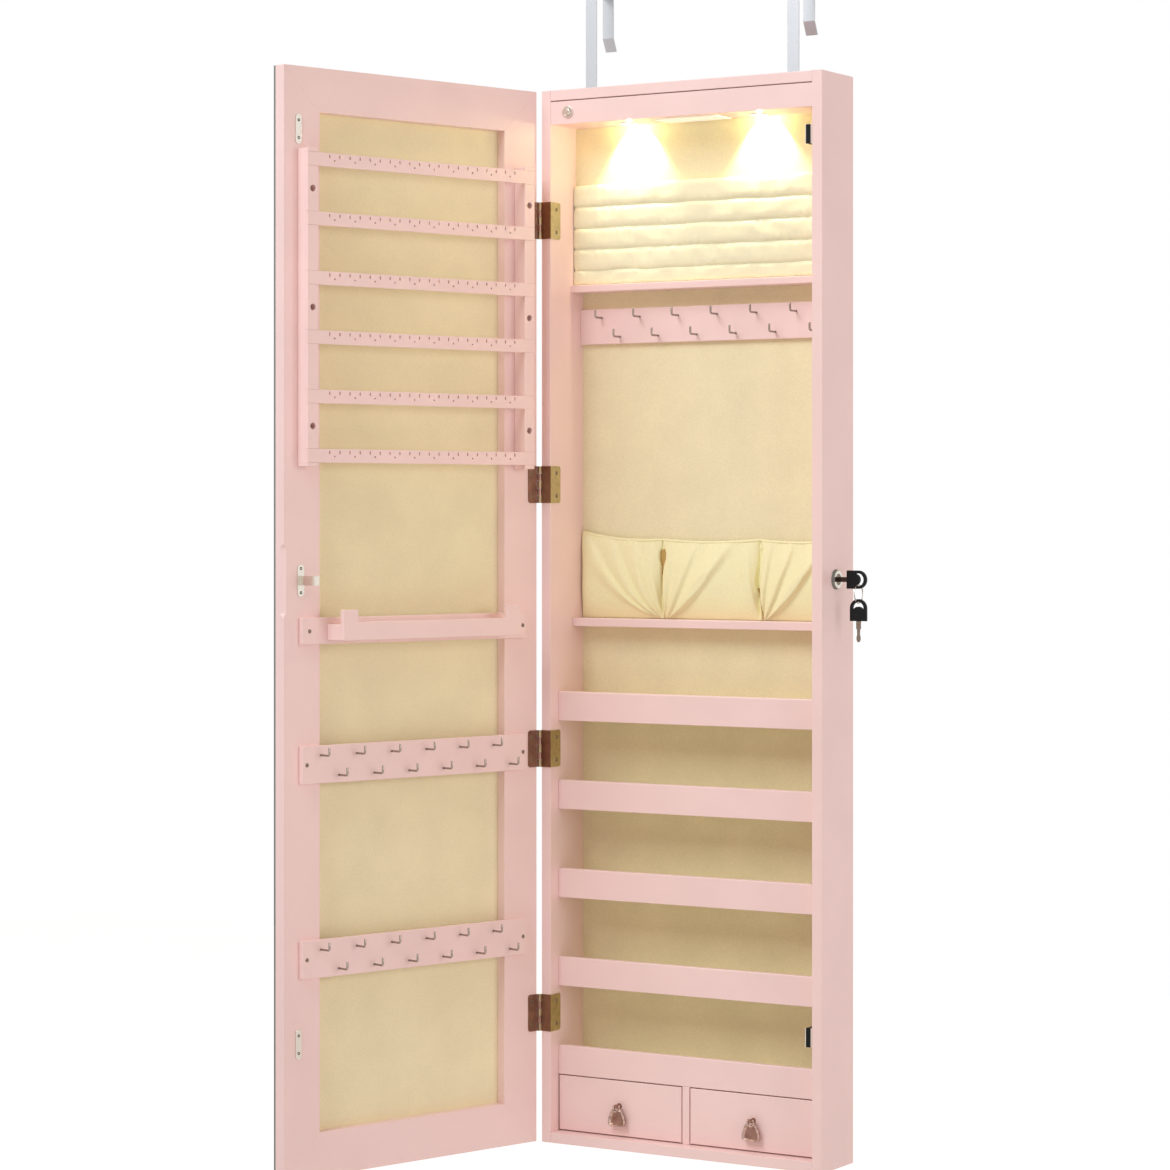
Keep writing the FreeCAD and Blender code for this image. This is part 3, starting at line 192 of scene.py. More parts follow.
def placed(part, origin, axes=((1, 0, 0), (0, 1, 0), (0, 0, 1))):
    """Part with its x, y and z turned to the given axes, and moved to origin."""
    verts, faces = part
    return verts @ np.array(axes, float) + np.array(origin, float), faces


# Directions that a fitting's x, y and z are turned to, by where its face looks.
TO_BACK = ((1, 0, 0), (0, 0, -1), (0, 1, 0))
TO_RIGHT = ((0, 1, 0), (0, 0, 1), (1, 0, 0))
DOWNWARD = ((1, 0, 0), (0, -1, 0), (0, 0, -1))


def opened(verts):
    """Points of the closed door turned open about the hinge pins.

    x' = c x - s y and y' = s x + c y about the pin, with c and s of the resting angle.
    """
    pin = np.array(HINGE["pos_m"]) * (1, 1, 0)
    c, s = math.cos(DOOR_TURN), math.sin(DOOR_TURN)
    return (verts - pin) @ np.array([[c, s, 0], [-s, c, 0], [0, 0, 1]]) + pin


def shape(name, part, finish, body, smooth=True, recalculate=True):
    """Mesh object from (vertices, faces), riding on a CAD body."""
    verts, faces = part
    mesh = bpy.data.meshes.new(name)
    mesh.from_pydata(np.asarray(verts).tolist(), [], faces)
    work = bmesh.new()
    work.from_mesh(mesh)
    bmesh.ops.remove_doubles(work, verts=work.verts, dist=1e-6)
    if recalculate:
        bmesh.ops.recalc_face_normals(work, faces=work.faces)
    work.to_mesh(mesh)
    work.free()
    mesh.polygons.foreach_set("use_smooth", np.full(len(mesh.polygons), smooth))
    mesh.materials.append(finish)
    made = bpy.data.objects.new(name, mesh)
    bpy.context.scene.collection.objects.link(made)
    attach(made, body)
    return made


def lathe(profile, sides):
    """Profile of (radius, height) pairs carried round the z axis: x = r cos a, y = r sin a."""
    angle = np.linspace(0, 2 * math.pi, sides, endpoint=False)
    radius, height = np.array(profile, float).T[:, :, None]
    points = np.stack([radius * np.cos(angle), radius * np.sin(angle),
                       height + 0 * angle], -1)
    return patch(points)


def tube(path, radius, side, sides):
    """Round tube along a path: each ring is centre + r (cos a * side + sin a * normal).

    The normal is the cross product of the path's direction and the given side vector.
    radius is one number or one for each point of the path.
    """
    path = np.asarray(path, float)
    along = np.gradient(path, axis=0)
    along /= np.linalg.norm(along, axis=1)[:, None]
    normal = np.cross(along, side)
    normal /= np.linalg.norm(normal, axis=1)[:, None]
    binormal = np.cross(normal, along)
    angle = np.linspace(0, 2 * math.pi, sides, endpoint=False)[None, :, None]
    size = np.broadcast_to(np.asarray(radius, float), (len(path),))[:, None, None]
    rings = path[:, None] + size * (np.cos(angle) * binormal[:, None]
                                    + np.sin(angle) * normal[:, None])
    return patch(rings, caps=True)


# ---- materials ----
def node(tree, kind, sockets=None, **settings):
    """Adds a node, sets its properties, and fills or links its input sockets."""
    made = tree.nodes.new(kind)
    for key, value in settings.items():
        setattr(made, key, value)
    for key, value in (sockets or {}).items():
        if isinstance(value, bpy.types.NodeSocket):
            tree.links.new(value, made.inputs[key])
        else:
            made.inputs[key].default_value = value
    return made


def material(name, base, **sockets):
    """Material with one Principled shader; returns it, its tree and the shader."""
    made = bpy.data.materials.new(name)
    made.use_nodes = True
    tree = made.node_tree
    tree.nodes.clear()
    given = {key.replace("_", " "): value for key, value in sockets.items()}
    given["Base Color"] = (*base, 1)
    shader = node(tree, "ShaderNodeBsdfPrincipled", given)
    node(tree, "ShaderNodeOutputMaterial", {"Surface": shader.outputs["BSDF"]})
    return made, tree, shader


def noise(tree, millimetres, detail=3.0, stretch=(1, 1, 1)):
    """Noise on Object coordinates whose grains are about so many millimetres across."""
    place = node(tree, "ShaderNodeTexCoord")
    turned = node(tree, "ShaderNodeMapping", {0: place.outputs["Object"], "Scale": stretch})
    return node(tree, "ShaderNodeTexNoise", {"Vector": turned.outputs[0], "Detail": detail,
                                             "Scale": 1 / (millimetres * MM)}).outputs[0]


def shade(tree, shader, factor, dark, light, low=0.35, high=0.65):
    """Base colour from dark to light as a factor goes from low to high."""
    ramp = node(tree, "ShaderNodeValToRGB", {"Fac": factor})
    ramp.color_ramp.elements[0].position = low
    ramp.color_ramp.elements[1].position = high
    ramp.color_ramp.elements[0].color = (*dark, 1)
    ramp.color_ramp.elements[1].color = (*light, 1)
    tree.links.new(ramp.outputs["Color"], shader.inputs["Base Color"])
    return ramp.outputs["Color"]


def remap(tree, value, low, high, start=0.0, end=1.0):
    """Value carried over from the range start to end to the range low to high."""
    return node(tree, "ShaderNodeMapRange", {"Value": value, "From Min": start, "From Max": end,
                                             "To Min": low, "To Max": high}).outputs[0]


def maths(tree, operation, *values):
    """Result of a Math node on numbers or sockets."""
    return node(tree, "ShaderNodeMath", dict(enumerate(values)), operation=operation).outputs[0]


def between(tree, factor, first, second):
    """Colour that goes from the first to the second with a factor."""
    return node(tree, "ShaderNodeMix", {"Factor": factor, 6: (*first, 1), 7: (*second, 1)},
                data_type="RGBA").outputs[2]


def scaled(tree, tone, share):
    """Colour made darker or lighter by a share that varies."""
    return node(tree, "ShaderNodeVectorMath", {0: tone, "Scale": share},
                operation="SCALE").outputs[0]


def facing(tree, way):
    """How far the object's own normal points a given way: 1 right along it, 0 across it."""
    place = node(tree, "ShaderNodeTexCoord")
    return node(tree, "ShaderNodeVectorMath", {0: place.outputs["Normal"], 1: way},
                operation="DOT_PRODUCT").outputs["Value"]


def spread(tree, shader, factor, low, high):
    """Roughness that goes from low to high with a factor."""
    tree.links.new(remap(tree, factor, low, high), shader.inputs["Roughness"])


def bump(tree, shader, height, millimetres, strength=1.0, under=None):
    """Bump of a height of so many millimetres, over another bump if one is given."""
    sockets = {"Height": height, "Distance": millimetres * MM, "Strength": strength}
    if under is not None:
        sockets["Normal"] = under
    made = node(tree, "ShaderNodeBump", sockets)
    tree.links.new(made.outputs[0], shader.inputs["Normal"])
    return made.outputs[0]


def tint(base, share):
    """Colour made darker or lighter by a share."""
    return tuple(min(1.0, v * share) for v in base)


def grained(name, base, grain, tones, relief, rough=None, **sockets):
    """Material whose tone, relief and, where given, roughness all follow one noise.

    grain is its size, detail and stretch, tones are shares of the base colour, and relief
    is the bump's height and strength.
    """
    made, tree, shader = material(name, base, **sockets)
    factor = noise(tree, *grain)
    shade(tree, shader, factor, tint(base, tones[0]), tint(base, tones[1]))
    bump(tree, shader, factor, *relief)
    if rough:
        spread(tree, shader, factor, *rough)
    return made


def lacquer(base):
    """Satin lacquer sprayed on fibreboard: an even soft gloss with a faint orange peel."""
    made, tree, shader = material("satin_lacquer_sprayed", base, Coat_Weight=0.25,
                                  Coat_Roughness=0.3)
    shade(tree, shader, noise(tree, 90), tint(base, 0.975), tint(base, 1.015))
    peel = noise(tree, 1.8, 1.0)
    spread(tree, shader, peel, 0.36, 0.46)
    bump(tree, shader, peel, 0.012)
    return made


def velvet(name, base, grain=1.5, fleck=0.045, sheen=0.35):
    """Short-napped cloth, flocked on a woven ground: matt, with a pale bloom at its edges
    and a fine speckle. The nap is under 0.3 mm; the speckle is drawn 1.5 mm across so that
    it shows in the render."""
    made, tree, shader = material(name, base, Roughness=0.9, Sheen_Weight=sheen,
                                  Sheen_Roughness=0.45, Specular_IOR_Level=0.25)
    nap = noise(tree, grain, 2.0)
    speckle = shade(tree, shader, nap, tint(base, 1 - fleck), tint(base, 1 + fleck / 2))
    cloud = remap(tree, noise(tree, 55, 2.0), 0.955, 1.02, 0.3, 0.7)
    tree.links.new(scaled(tree, speckle, cloud), shader.inputs["Base Color"])
    under = bump(tree, shader, noise(tree, 0.5, 2.0), 0.05, 0.6)
    bump(tree, shader, nap, 0.12, 0.5, under)
    return made


def sateen(name, base):
    """Polyester sateen: long floats along the cloth give a soft streaky gloss."""
    return grained(name, base, (0.9, 2.0, (1, 1, 0.25)), (0.96, 1.02), (0.05, 0.6), (0.42, 0.6),
                   Sheen_Weight=0.3, Sheen_Roughness=0.35)


def metal(name, base, rough, grain=0.6, wear=0.1):
    """Plated metal: its plate colour with a fine uneven polish."""
    return grained(name, base, (grain,), (1 - wear, 1 + wear / 2), (0.01, 0.5),
                   (rough * 0.8, rough * 1.3), Metallic=1.0)


def antique(name, base, patch_size, dark, light):
    """Antique plate: brown patina left in the hollows, paler rubbed patches."""
    made, tree, shader = material(name, base, Metallic=1.0)
    shade(tree, shader, noise(tree, patch_size), tint(base, dark), tint(base, light), 0.34, 0.68)
    pit = noise(tree, 0.8, 2.0)
    spread(tree, shader, pit, 0.26, 0.48)
    bump(tree, shader, pit, 0.02, 0.6)
    return made


def facing_painted_light(name, side, front, way, rough):
    """Plated metal with painted light by facing: one tone on the faces that point a given way, one
    on the rest.

    On a hinge's case leaf, painted shade makes the front brown bronze and a painted highlight
    makes the inside pale brass; on the lock, a painted highlight on the rose and painted shade on
    its dark rim. A noise varies the tones unevenly. The object's own normal tells the faces.
    """
    made, tree, shader = material(name, front, Metallic=1.0, Roughness=rough)
    # Tone by facing: painted shade on one side, a painted highlight on the other.
    tone = between(tree, remap(tree, facing(tree, way), 0, 1, 0.5, 0.9), side, front)
    rub = noise(tree, 7.0)
    worn = scaled(tree, tone, remap(tree, rub, 0.7, 1.25))
    tree.links.new(worn, shader.inputs["Base Color"])
    bump(tree, shader, rub, 0.02, 0.4)
    return made


def plastic(name, base, rough, peel=0.9, gloss=0.5):
    """Moulded ABS: a fine spark-eroded grain from the mould."""
    return grained(name, base, (peel, 2.0), (0.97, 1.02), (0.01, 0.6),
                   (rough * 0.85, rough * 1.2), Specular_IOR_Level=gloss)


def painted_glow_cover(base):
    """Thin white moulding between the two lamps, with a painted glow: an emission of its own
    colour makes it look lit by them.
    """
    # Emission of the moulding's own colour: a painted glow, not a lamp.
    made, tree, shader = material("thin_white_moulding", base, Emission_Color=(*base, 1),
                                  Emission_Strength=0.3)
    grain = noise(tree, 0.9, 2.0)
    spread(tree, shader, grain, 0.36, 0.5)
    bump(tree, shader, grain, 0.01, 0.6)
    return made


def hardboard(base):
    """Bare hardboard: pressed brown fibres, a little shiny where the press was smooth."""
    return grained("bare_hardboard", base, (2.2, 4.0, (1, 1, 0.4)), (0.82, 1.1), (0.03, 0.6),
                   Roughness=0.65)


def mirror_glass():
    """Silvered float glass: a clear mirror face, and an edge ground to grey green.

    The face is told from the edge by the object's own normal, which keeps to the piece
    as the door swings: its part along the door's normal is 1 on the face, 0 on the edge.
    """
    silver = linear("DCE3E1")
    made, tree, shader = material("silvered_float_glass", silver)
    way = opened(np.array([[0, 1, 0]])) - opened(np.zeros((1, 3)))
    along = maths(tree, "ABSOLUTE", facing(tree, tuple(way[0])))
    face = maths(tree, "GREATER_THAN", along, 0.7)
    tree.links.new(face, shader.inputs["Metallic"])
    tree.links.new(between(tree, face, linear("757D7A"), silver), shader.inputs["Base Color"])
    spread(tree, shader, face, 0.35, 0.015)
    bump(tree, shader, noise(tree, 0.7, 2.0), 0.002, 0.1)
    return made


def lamp_lens(base):
    """Frosted acrylic lens, lit from behind: nearly white, with a warm rim."""
    made, tree, shader = material("frosted_lens_lit", (1, 1, 1), Roughness=0.4,
                                  Emission_Strength=2.5)
    rim = node(tree, "ShaderNodeLayerWeight", {"Blend": 0.4}).outputs["Facing"]
    tree.links.new(between(tree, rim, (1, 1, 0.94), base), shader.inputs["Emission Color"])
    return made


FINISHES = {}


def finishes(colours):
    """Every material of the cabinet, by short name, made once."""
    if not FINISHES:
        FINISHES.update({
            "lacquer": lacquer(colours.lacquer),
            "lining": velvet("cream_velvet_lining", colours.lining),
            "rolls": velvet("cream_velvet_rolls", colours.rolls, 1.3, 0.035, 0.5),
            "pouch": sateen("pouch_sateen", colours.pouch),
            # Pouch cloth in its slits: painted shade.
            "pouch_slit_painted_shade": sateen("pouch_sateen_wrong_side", colours.pouch_slit_painted_shade),
            "paper": plastic("pink_paper_wrap", tint(colours.lacquer, 0.97), 0.7, 1.6),
            "mirror": mirror_glass(),
            "nickel": metal("nickel_plated_wire", colours.nickel, 0.2),
            # Hinge case leaves and pins: painted highlight inside, painted shade on the front.
            "brass": facing_painted_light("hinge_leaf_plate", colours.brass, colours.brown, (0, -1, 0), 0.3),
            # Pull rims: a painted highlight.
            "rim": antique("rubbed_pull_rim", colours.rim, 3.0, 0.6, 1.2),
            "bronze": antique("bronze_plate", colours.bronze, 9.0, 0.8, 1.15),
            "steel": metal("bright_plated_steel", colours.steel, 0.16),
            "zinc": metal("zinc_plated_strap", colours.enamel, 0.32, 1.5, 0.05),
            # Lock rose: a painted highlight on the faces to the right, painted shade at 0.22 of
            # the steel on its rim.
            "chrome": facing_painted_light("polished_lock_rose", tint(colours.steel, 0.22), colours.steel,
                               (1, 0, 0), 0.14),
            "blade": metal("rubbed_key_steel", colours.blade, 0.3, 1.2, 0.3),
            # Key in the lock: the key blades' steel at a quarter of its brightness, painted shade.
            "shaded_key_steel": metal("oiled_key_steel", tint(colours.blade, 0.25), 0.35, 1.2, 0.3),
            "black": plastic("black_moulded_plastic", colours.black, 0.5, 0.9, 0.2),
            "white": plastic("white_moulded_plastic", colours.white, 0.42),
            # Battery cover's face: white plastic with a painted glow.
            "cover": painted_glow_cover(colours.white),
            "lens": lamp_lens(colours.lamp),
            "cell": plastic("cell_jacket_film", linear("5C6166"), 0.3),
            "board": hardboard(colours.hardboard),
        })
    return FINISHES


NODE_FINISH = {
    "lacquer": "case_bottom case_left_side case_right_side case_top drawer_divider "
               "drawer_left_front drawer_right_front rack_rails light_fascia light_box_floor "
               "shelf_upper shelf_lower door_rail_bottom door_rail_top door_stile_hinge_side "
               "door_stile_lock_side earring_holder_stiles earring_slats bracelet_board "
               "bracelet_bar door_hook_rails necklace_rail",
    "board": "back_panel",
    "lining": "back_lining ring_pad_board rack_floors door_lining_panel",
    "rolls": "ring_rolls",
    "pouch": "necklace_pouch",
    "paper": "drawer_left_tray drawer_right_tray",
    "mirror": "mirror",
    "nickel": "necklace_hooks door_hooks key_ring",
    "brass": "hinge_case_leaves hinge_pins",
    "bronze": "drawer_left_pull drawer_right_pull drawer_left_pull_stud drawer_right_pull_stud "
              "hinge_door_leaves",
    "blade": "spare_key_blade lock_plug",
    "shaded_key_steel": "key_blade",
    "steel": "lock_cam door_strikes catch_plates switch_bezel switch_button",
    "chrome": "lock_body",
    "black": "key_head spare_key_head catch_bodies",
    "white": "battery_box battery_cover led_housings",
    "lens": "led_lenses",
    "cell": "battery_cells",
    "zinc": "over_door_hooks",
}
FITTINGS = ("brass", "bronze", "steel", "blade", "shaded_key_steel", "chrome", "zinc", "black", "white")
SOFT_EDGE = {"lacquer": "edge", **dict.fromkeys(FITTINGS, "metal_edge")}
PLAIN_EDGE = ("earring_slats", "hinge_pins", "light_box_floor")


class Maker:
    """Shared by the operators that make pieces: gives them the scene and the materials."""

    def execute(self, context):
        self.build(context.scene, finishes(context.scene.cabinet_colours))
        return {"FINISHED"}


def soften(piece, width):
    """Merges the loose triangles, joins flat ones, and rounds edges over 30 degrees."""
    piece.modifiers.new("Merge", "WELD").merge_threshold = 1e-5
    flat = piece.modifiers.new("Flats", "DECIMATE")
    flat.decimate_type = "DISSOLVE"
    flat.angle_limit = math.radians(1)
    round_off = piece.modifiers.new("Edge", "BEVEL")
    round_off.width = width
    round_off.segments = 2
    round_off.limit_method = "ANGLE"
    round_off.angle_limit = math.radians(30)


class CABINET_OT_boards(Maker, bpy.types.Operator):
    """Gives every CAD node its material, and boards and fittings a softened edge"""
    bl_idname = "cabinet.boards"
    bl_label = "Boards and fittings"

    def build(self, scene, made):
        bare = set(frame["nodes"])
        for finish, names in NODE_FINISH.items():
            for name in names.split():
                bare.discard(name)
                piece = frame["nodes"][name]
                piece.data.materials.clear()
                piece.data.materials.append(made[finish])
                if finish in SOFT_EDGE and name not in PLAIN_EDGE:
                    soften(piece, getattr(scene.cabinet_sizes, SOFT_EDGE[finish]))
        if bare:
            raise RuntimeError("no material for %s" % sorted(bare))


# ---- ring rolls ----
def smooth_noise(u, v, seed, size_u, size_v):
    """Sum of cosines of random direction and phase, about -1 to 1, of given wave sizes."""
    draw = np.random.default_rng(seed)
    total = np.zeros(np.broadcast(u, v).shape)
    for _ in range(9):
        a = draw.uniform(0.6, 1.6) * 2 * math.pi / size_u
        b = draw.uniform(-1.3, 1.3) * 2 * math.pi / size_v
        total = total + np.cos(a * u + b * v + draw.uniform(0, 2 * math.pi))
    return total / 4.5


def roll_surface(rows, pucker):
    """Front of the rolls on a grid of x and a height parameter, closed by a flat back.

    Within a roll, h goes from 0 at its upper seam to 1 at its lower one, and the cloth
    stands out by crown * (1 - |2h^0.9 - 1|^4)^0.6, a full, flattened arch. Puckers are
    short waves along x whose depth falls off exponentially from each seam, and seams
    wander by 0.7 mm. Near the side boards the crown shrinks with the square root of the
    distance from the end.
    """
    low, high = ROLLS
    pitch = 24.5 * MM
    seam_depth = 3.0 * MM
    seams = [high.z - i * pitch for i in range(5)] + [low.z]
    columns = 420
    x = np.linspace(low.x, high.x, columns)
    ends = np.clip(np.minimum(x - low.x, high.x - x) / (9 * MM), 0, 1) ** 0.5
    base = high.y - seam_depth
    lines = []
    for k, (top, foot) in enumerate(zip(seams[:-1], seams[1:])):
        steps = np.linspace(0, 1, rows, endpoint=False)[:, None]
        sway_top = 0.7 * MM * smooth_noise(x, 0 * x, 40 + k, 90 * MM, 1)
        sway_foot = 0.7 * MM * smooth_noise(x, 0 * x, 41 + k, 90 * MM, 1)
        if k == 0:
            sway_top = sway_top * 0.5
        if k == 4:
            sway_foot = 0 * x
        z = (top + sway_top) * (1 - steps) + (foot + sway_foot) * steps
        arch = (1 - np.abs(2 * steps ** 0.9 - 1) ** 4) ** 0.6
        crown = (base - low.y) * (0.94 + 0.06 * smooth_noise(x, 0 * x, 60 + k, 120 * MM, 1))
        if k == 4:
            crown = crown * 0.9
        depth = crown * arch * (0.45 + 0.55 * ends)
        near = np.exp(-np.minimum(steps, 1 - steps) * pitch / (3.6 * MM))
        gather = smooth_noise(x + 0.3 * steps * MM, steps * 20 * MM, 80 + k, 13 * MM, 40 * MM)
        depth = depth + pucker * near * gather * (0.3 + 0.7 * arch)
        wave = smooth_noise(x, steps * pitch, 90 + k, 45 * MM, 30 * MM)
        depth = depth + 0.35 * MM * wave * arch
        y = base - np.maximum(depth, 0.0)
        lines.append(np.stack([np.broadcast_to(x, y.shape), y,
                               np.broadcast_to(z, y.shape)], -1))
    for y, z in ((base, low.z), (high.y, low.z), (high.y, high.z)):
        lines.append(np.stack([x, np.full(columns, y), np.full(columns, z)], -1)[None])
    return patch(np.concatenate(lines, 0).transpose(1, 0, 2), caps=True)


class CABINET_OT_ring_rolls(Maker, bpy.types.Operator):
    """Five sewn ring rolls: padded tubes with puckered seams, drawn in at their ends"""
    bl_idname = "cabinet.ring_rolls"
    bl_label = "Ring rolls"

    def build(self, scene, made):
        sizes = scene.cabinet_sizes
        rolls = shape("ring_rolls_padded", roll_surface(sizes.roll_rows, sizes.pucker),
                      made["rolls"], "case")
        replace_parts(rolls, "ring_rolls")


# ---- pouch ----
POUCH_TACKS = (-59.8 * MM, 66.0 * MM)
POUCH_TOP = 89.0 * MM
# Folds at the foot of each seam: place along the top edge in mm, width in mm, share of depth.
POUCH_FOLDS = (((-104, 15, 0.9), (-70, 13, 1.0), (-38, 12, 1.0), (-14, 8, 0.4),
                (14, 9, 0.5), (44, 13, 0.8), (88, 20, 1.2)),
               ((-16, 9, 0.3), (15, 8, 0.6), (44, 11, 0.8), (84, 15, 1.2)))
# Slit at each seam: drops of 0 top to 1 foot, and half widths in mm there.
POUCH_SLITS = (((0, 0.1, 0.17, 0.25, 0.34, 0.5, 0.9, 1),
                (1.0, 1.8, 4.6, 4.8, 2.4, 1.7, 1.2, 0.8)),
               ((0, 0.1, 0.3, 0.5, 0.75, 1), (1.2, 3.4, 3.0, 2.8, 1.8, 1.4)))


def pocket(x):
    """Which pocket, 0 to 2, lies at x, and where it starts and ends."""
    marks = np.array([POUCH[0].x, *POUCH_TACKS, POUCH[1].x])
    place = np.clip(np.searchsorted(marks, x, side="right") - 1, 0, 2)
    return place, marks[place], marks[place + 1]


def pouch_top(x):
    """Height of the pouch's top edge: a shallow scallop between tacks, rising to the left.

    The edge sags between neighbouring tacks along a parabola, by 3 mm and in the first
    pocket by 1.8 mm. It climbs 9 mm to its left corner with the square of the distance
    from the first tack.
    """
    place, start, end = pocket(x)
    share = (x - start) / (end - start)
    sag = 3.0 * MM * 4 * share * (1 - share)
    climb = np.clip((POUCH_TACKS[0] - x) / (POUCH_TACKS[0] - POUCH[0].x), 0, 1)
    return POUCH_TOP + 9 * MM * climb ** 2 - sag * np.where(place == 0, 0.6, 1.0)


def pouch_out(x, drop):
    """How far the cloth stands out from the back at x and a drop of 0 top to 1 foot.

    Each pocket stands out quickly beside its seams, as 1 - exp(-distance / 3.5 mm), and
    bulges down its drop as the sine of pi drop^1.5, fullest at about two thirds.
    """
    _, start, end = pocket(x)
    beside = np.minimum(x - start, end - x)
    across = 1 - np.exp(-np.maximum(beside, 0) / (3.5 * MM))
    down = np.sin(math.pi * np.clip(drop, 0, 1) ** 1.5)
    top = 2.2 * MM * (1 - drop) ** 2 * across
    return (1.2 + 8.0 * across * down ** 0.7) * MM + top


def pouch_cloth(fold):
    """Grid over x and drop, with curved folds that gather at the foot of each seam.

    A fold keeps to x = seam + q (height above the foot)^0.62 with one q of its own, so
    all of them meet at the seam's foot and steepen as they climb. Across, a fold falls
    off as a bell curve of q, four times as steep on its right; its depth is nothing at
    the foot and the top, and full two fifths of the way up.
    Columns stand closer beside the two seams, where the cloth dives in to the back. The second
    result tells the faces at the bottom of the seams' slits, which get a darker cloth as painted
    shade.
    """
    low, high = POUCH
    near = [tack + np.linspace(-9, 9, 46) * MM for tack in POUCH_TACKS]
    x = np.unique(np.concatenate([np.linspace(low.x, high.x, 320), *near]))[None]
    drop = np.linspace(0, 1, 110)[:, None]
    top = pouch_top(x)
    z = top + (low.z - top) * drop
    out = pouch_out(x + 0 * drop, drop + 0 * x)
    rise = np.clip(1 - drop, 0.004, 1)
    for seam, folds in zip(POUCH_TACKS, POUCH_FOLDS):
        reach = (x - seam - 3 * MM * (1 - rise)) / rise ** 0.62
        for middle, width, height in folds:
            off = (reach / MM - middle) / width
            bell = np.exp(-(off * np.where(off > 0, 2.6, 0.65)) ** 2)
            out = out + fold * height * bell * np.sin(math.pi * rise ** 0.75) ** 0.7
    out = out + 0.5 * MM * smooth_noise(x, 0 * x, 21, 12 * MM, 1) * np.exp(-drop * 6)
    out = out + 0.7 * MM * smooth_noise(x, z, 22, 60 * MM, 70 * MM) * np.sin(math.pi * drop)
    slit_shade_faces = np.zeros(out.shape, bool)
    for seam, sway, slit in zip(POUCH_TACKS, (0.5, 2.2), POUCH_SLITS):
        middle = seam + 3 * MM * drop + sway * MM * np.sin(9 * drop)
        width = np.interp(drop, *slit) * MM
        dip = np.exp(-np.abs((x - middle) / width) ** 5)
        out = out * (1 - 0.95 * dip)
        # Faces well inside a slit are marked for a darker cloth: painted shade.
        slit_shade_faces = slit_shade_faces | ((dip > 0.35) & (drop > (0.12 if sway < 1 else 0.6)))
    out = np.clip(out, 0.5 * MM, 14.5 * MM)
    y = high.y - out
    grid = np.stack([np.broadcast_to(x, y.shape), y, z], -1)
    return patch(grid, around=False), slit_shade_faces[:-1, :-1].ravel()


def pouch_hem():
    """Piped hem: a tube along the top edge, thinner where a tack pinches it."""
    low, high = POUCH
    x = np.linspace(low.x + 1.5 * MM, high.x - 1.5 * MM, 260)
    pinch = sum(np.exp(-((x - tack) / (4 * MM)) ** 2) for tack in POUCH_TACKS)
    radius = 1.7 * MM * (1 - 0.4 * pinch) * (1 + 0.09 * smooth_noise(x, 0 * x, 31, 9 * MM, 1))
    across = np.clip(pouch_out(x, 0 * x), 0.8 * MM, 9 * MM)
    path = np.stack([x, high.y - np.maximum(across * (1 - 0.7 * pinch), 2.2 * MM),
                     pouch_top(x) - 1.2 * MM], -1)
    return tube(path, radius, (0, 1, 0), 12)


def pouch_thread():
    """Zigzag of thread under the hem that sews it to the back at each seam."""
    zigzag = np.array([(-8, -3.2, 0), (-4.5, -2.6, -6), (-1.5, -2.2, -4), (1, -2.0, -7),
                       (3.5, -2.2, -3.5), (5, -2.6, -6), (9, -3.2, 0.5)]) * MM
    tops = pouch_top(np.array(POUCH_TACKS)) - 5.5 * MM
    thread = tube(zigzag, 0.45 * MM, (0, 1, 0), 8)
    return joined([placed(thread, (tack, POUCH[1].y, top))
                   for tack, top in zip(POUCH_TACKS, tops)])


class CABINET_OT_pouch(Maker, bpy.types.Operator):
    """Necklace pouch: one gathered cloth of three pockets under a piped top edge"""
    bl_idname = "cabinet.pouch"
    bl_label = "Necklace pouch"

    def build(self, scene, made):
        part, inside = pouch_cloth(scene.cabinet_sizes.pouch_fold)
        cloth = shape("necklace_pouch_cloth", part, made["pouch"], "case",
                      recalculate=False)
        # Second material: painted shade on the faces deep in the slits.
        cloth.data.materials.append(made["pouch_slit_painted_shade"])
        cloth.data.polygons.foreach_set("material_index", inside.astype(np.int32))
        wall = cloth.modifiers.new("Cloth", "SOLIDIFY")
        wall.thickness = 0.5 * MM
        wall.offset = 0
        hem = shape("pouch_hem", pouch_hem(), made["pouch"], "case")
        tacks = shape("pouch_tacks", pouch_thread(), made["pouch"], "case")
        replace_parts(cloth, "necklace_pouch")


# ---- screws ----
def screw_head(diameter, domed):
    """Cross-recess screw head on a polar grid.

    Height is a shallow dome over the share s of the radius, domed * radius * (1 - s^2)^0.8.
    It is 0.36 radii less in the cross, whose arms are 0.14 to each side and 0.58 long.
    """
    share = np.linspace(0, 1, 11)[:, None]
    angle = np.linspace(0, 2 * math.pi, 32, endpoint=False)[None]
    x = share * np.cos(angle)
    y = share * np.sin(angle)
    radius = diameter / 2
    height = domed * radius * (1 - share ** 2) ** 0.8 + 0 * angle
    arm = (np.minimum(np.abs(x), np.abs(y)) < 0.14) & (share < 0.58)
    height = np.where(arm, height - 0.36 * radius, height)
    points = np.stack([x * radius, y * radius, height], -1)
    skirt = points[-1:] * (1, 1, 0) + np.array([0, 0, -0.12 * radius])
    points = np.concatenate([points, skirt, skirt * (0, 0, 1)], 0)
    return patch(points)


# Screws on the closed door in mm: their x, their z and how far out they sit from it.
HOLDER_SCREWS = ((-153.2, 153.2), (211.5, 339.0, 466.5), 8.2)
BRACELET_SCREWS = ((-153.0, 149.0), (-9.2,), 6.0)
RAIL_SCREWS = ((-153.5, 152.5), (-153.0, -362.5), 6.0)
# Strikes in mm: x, z, and how far above and below it the screws are.
STRIKES = ((160.0, -453.0, 9.5), (160.0, 531.0, 9.5), (157.0, 45.5, 13.0))
# Heights of the hinges' screws: 13 mm above and below the middle of each of four hinges.
HINGE_SCREWS = [(-452.0 + n * 904.0 / 3 + side) * MM for n in range(4) for side in (-13, 13)]


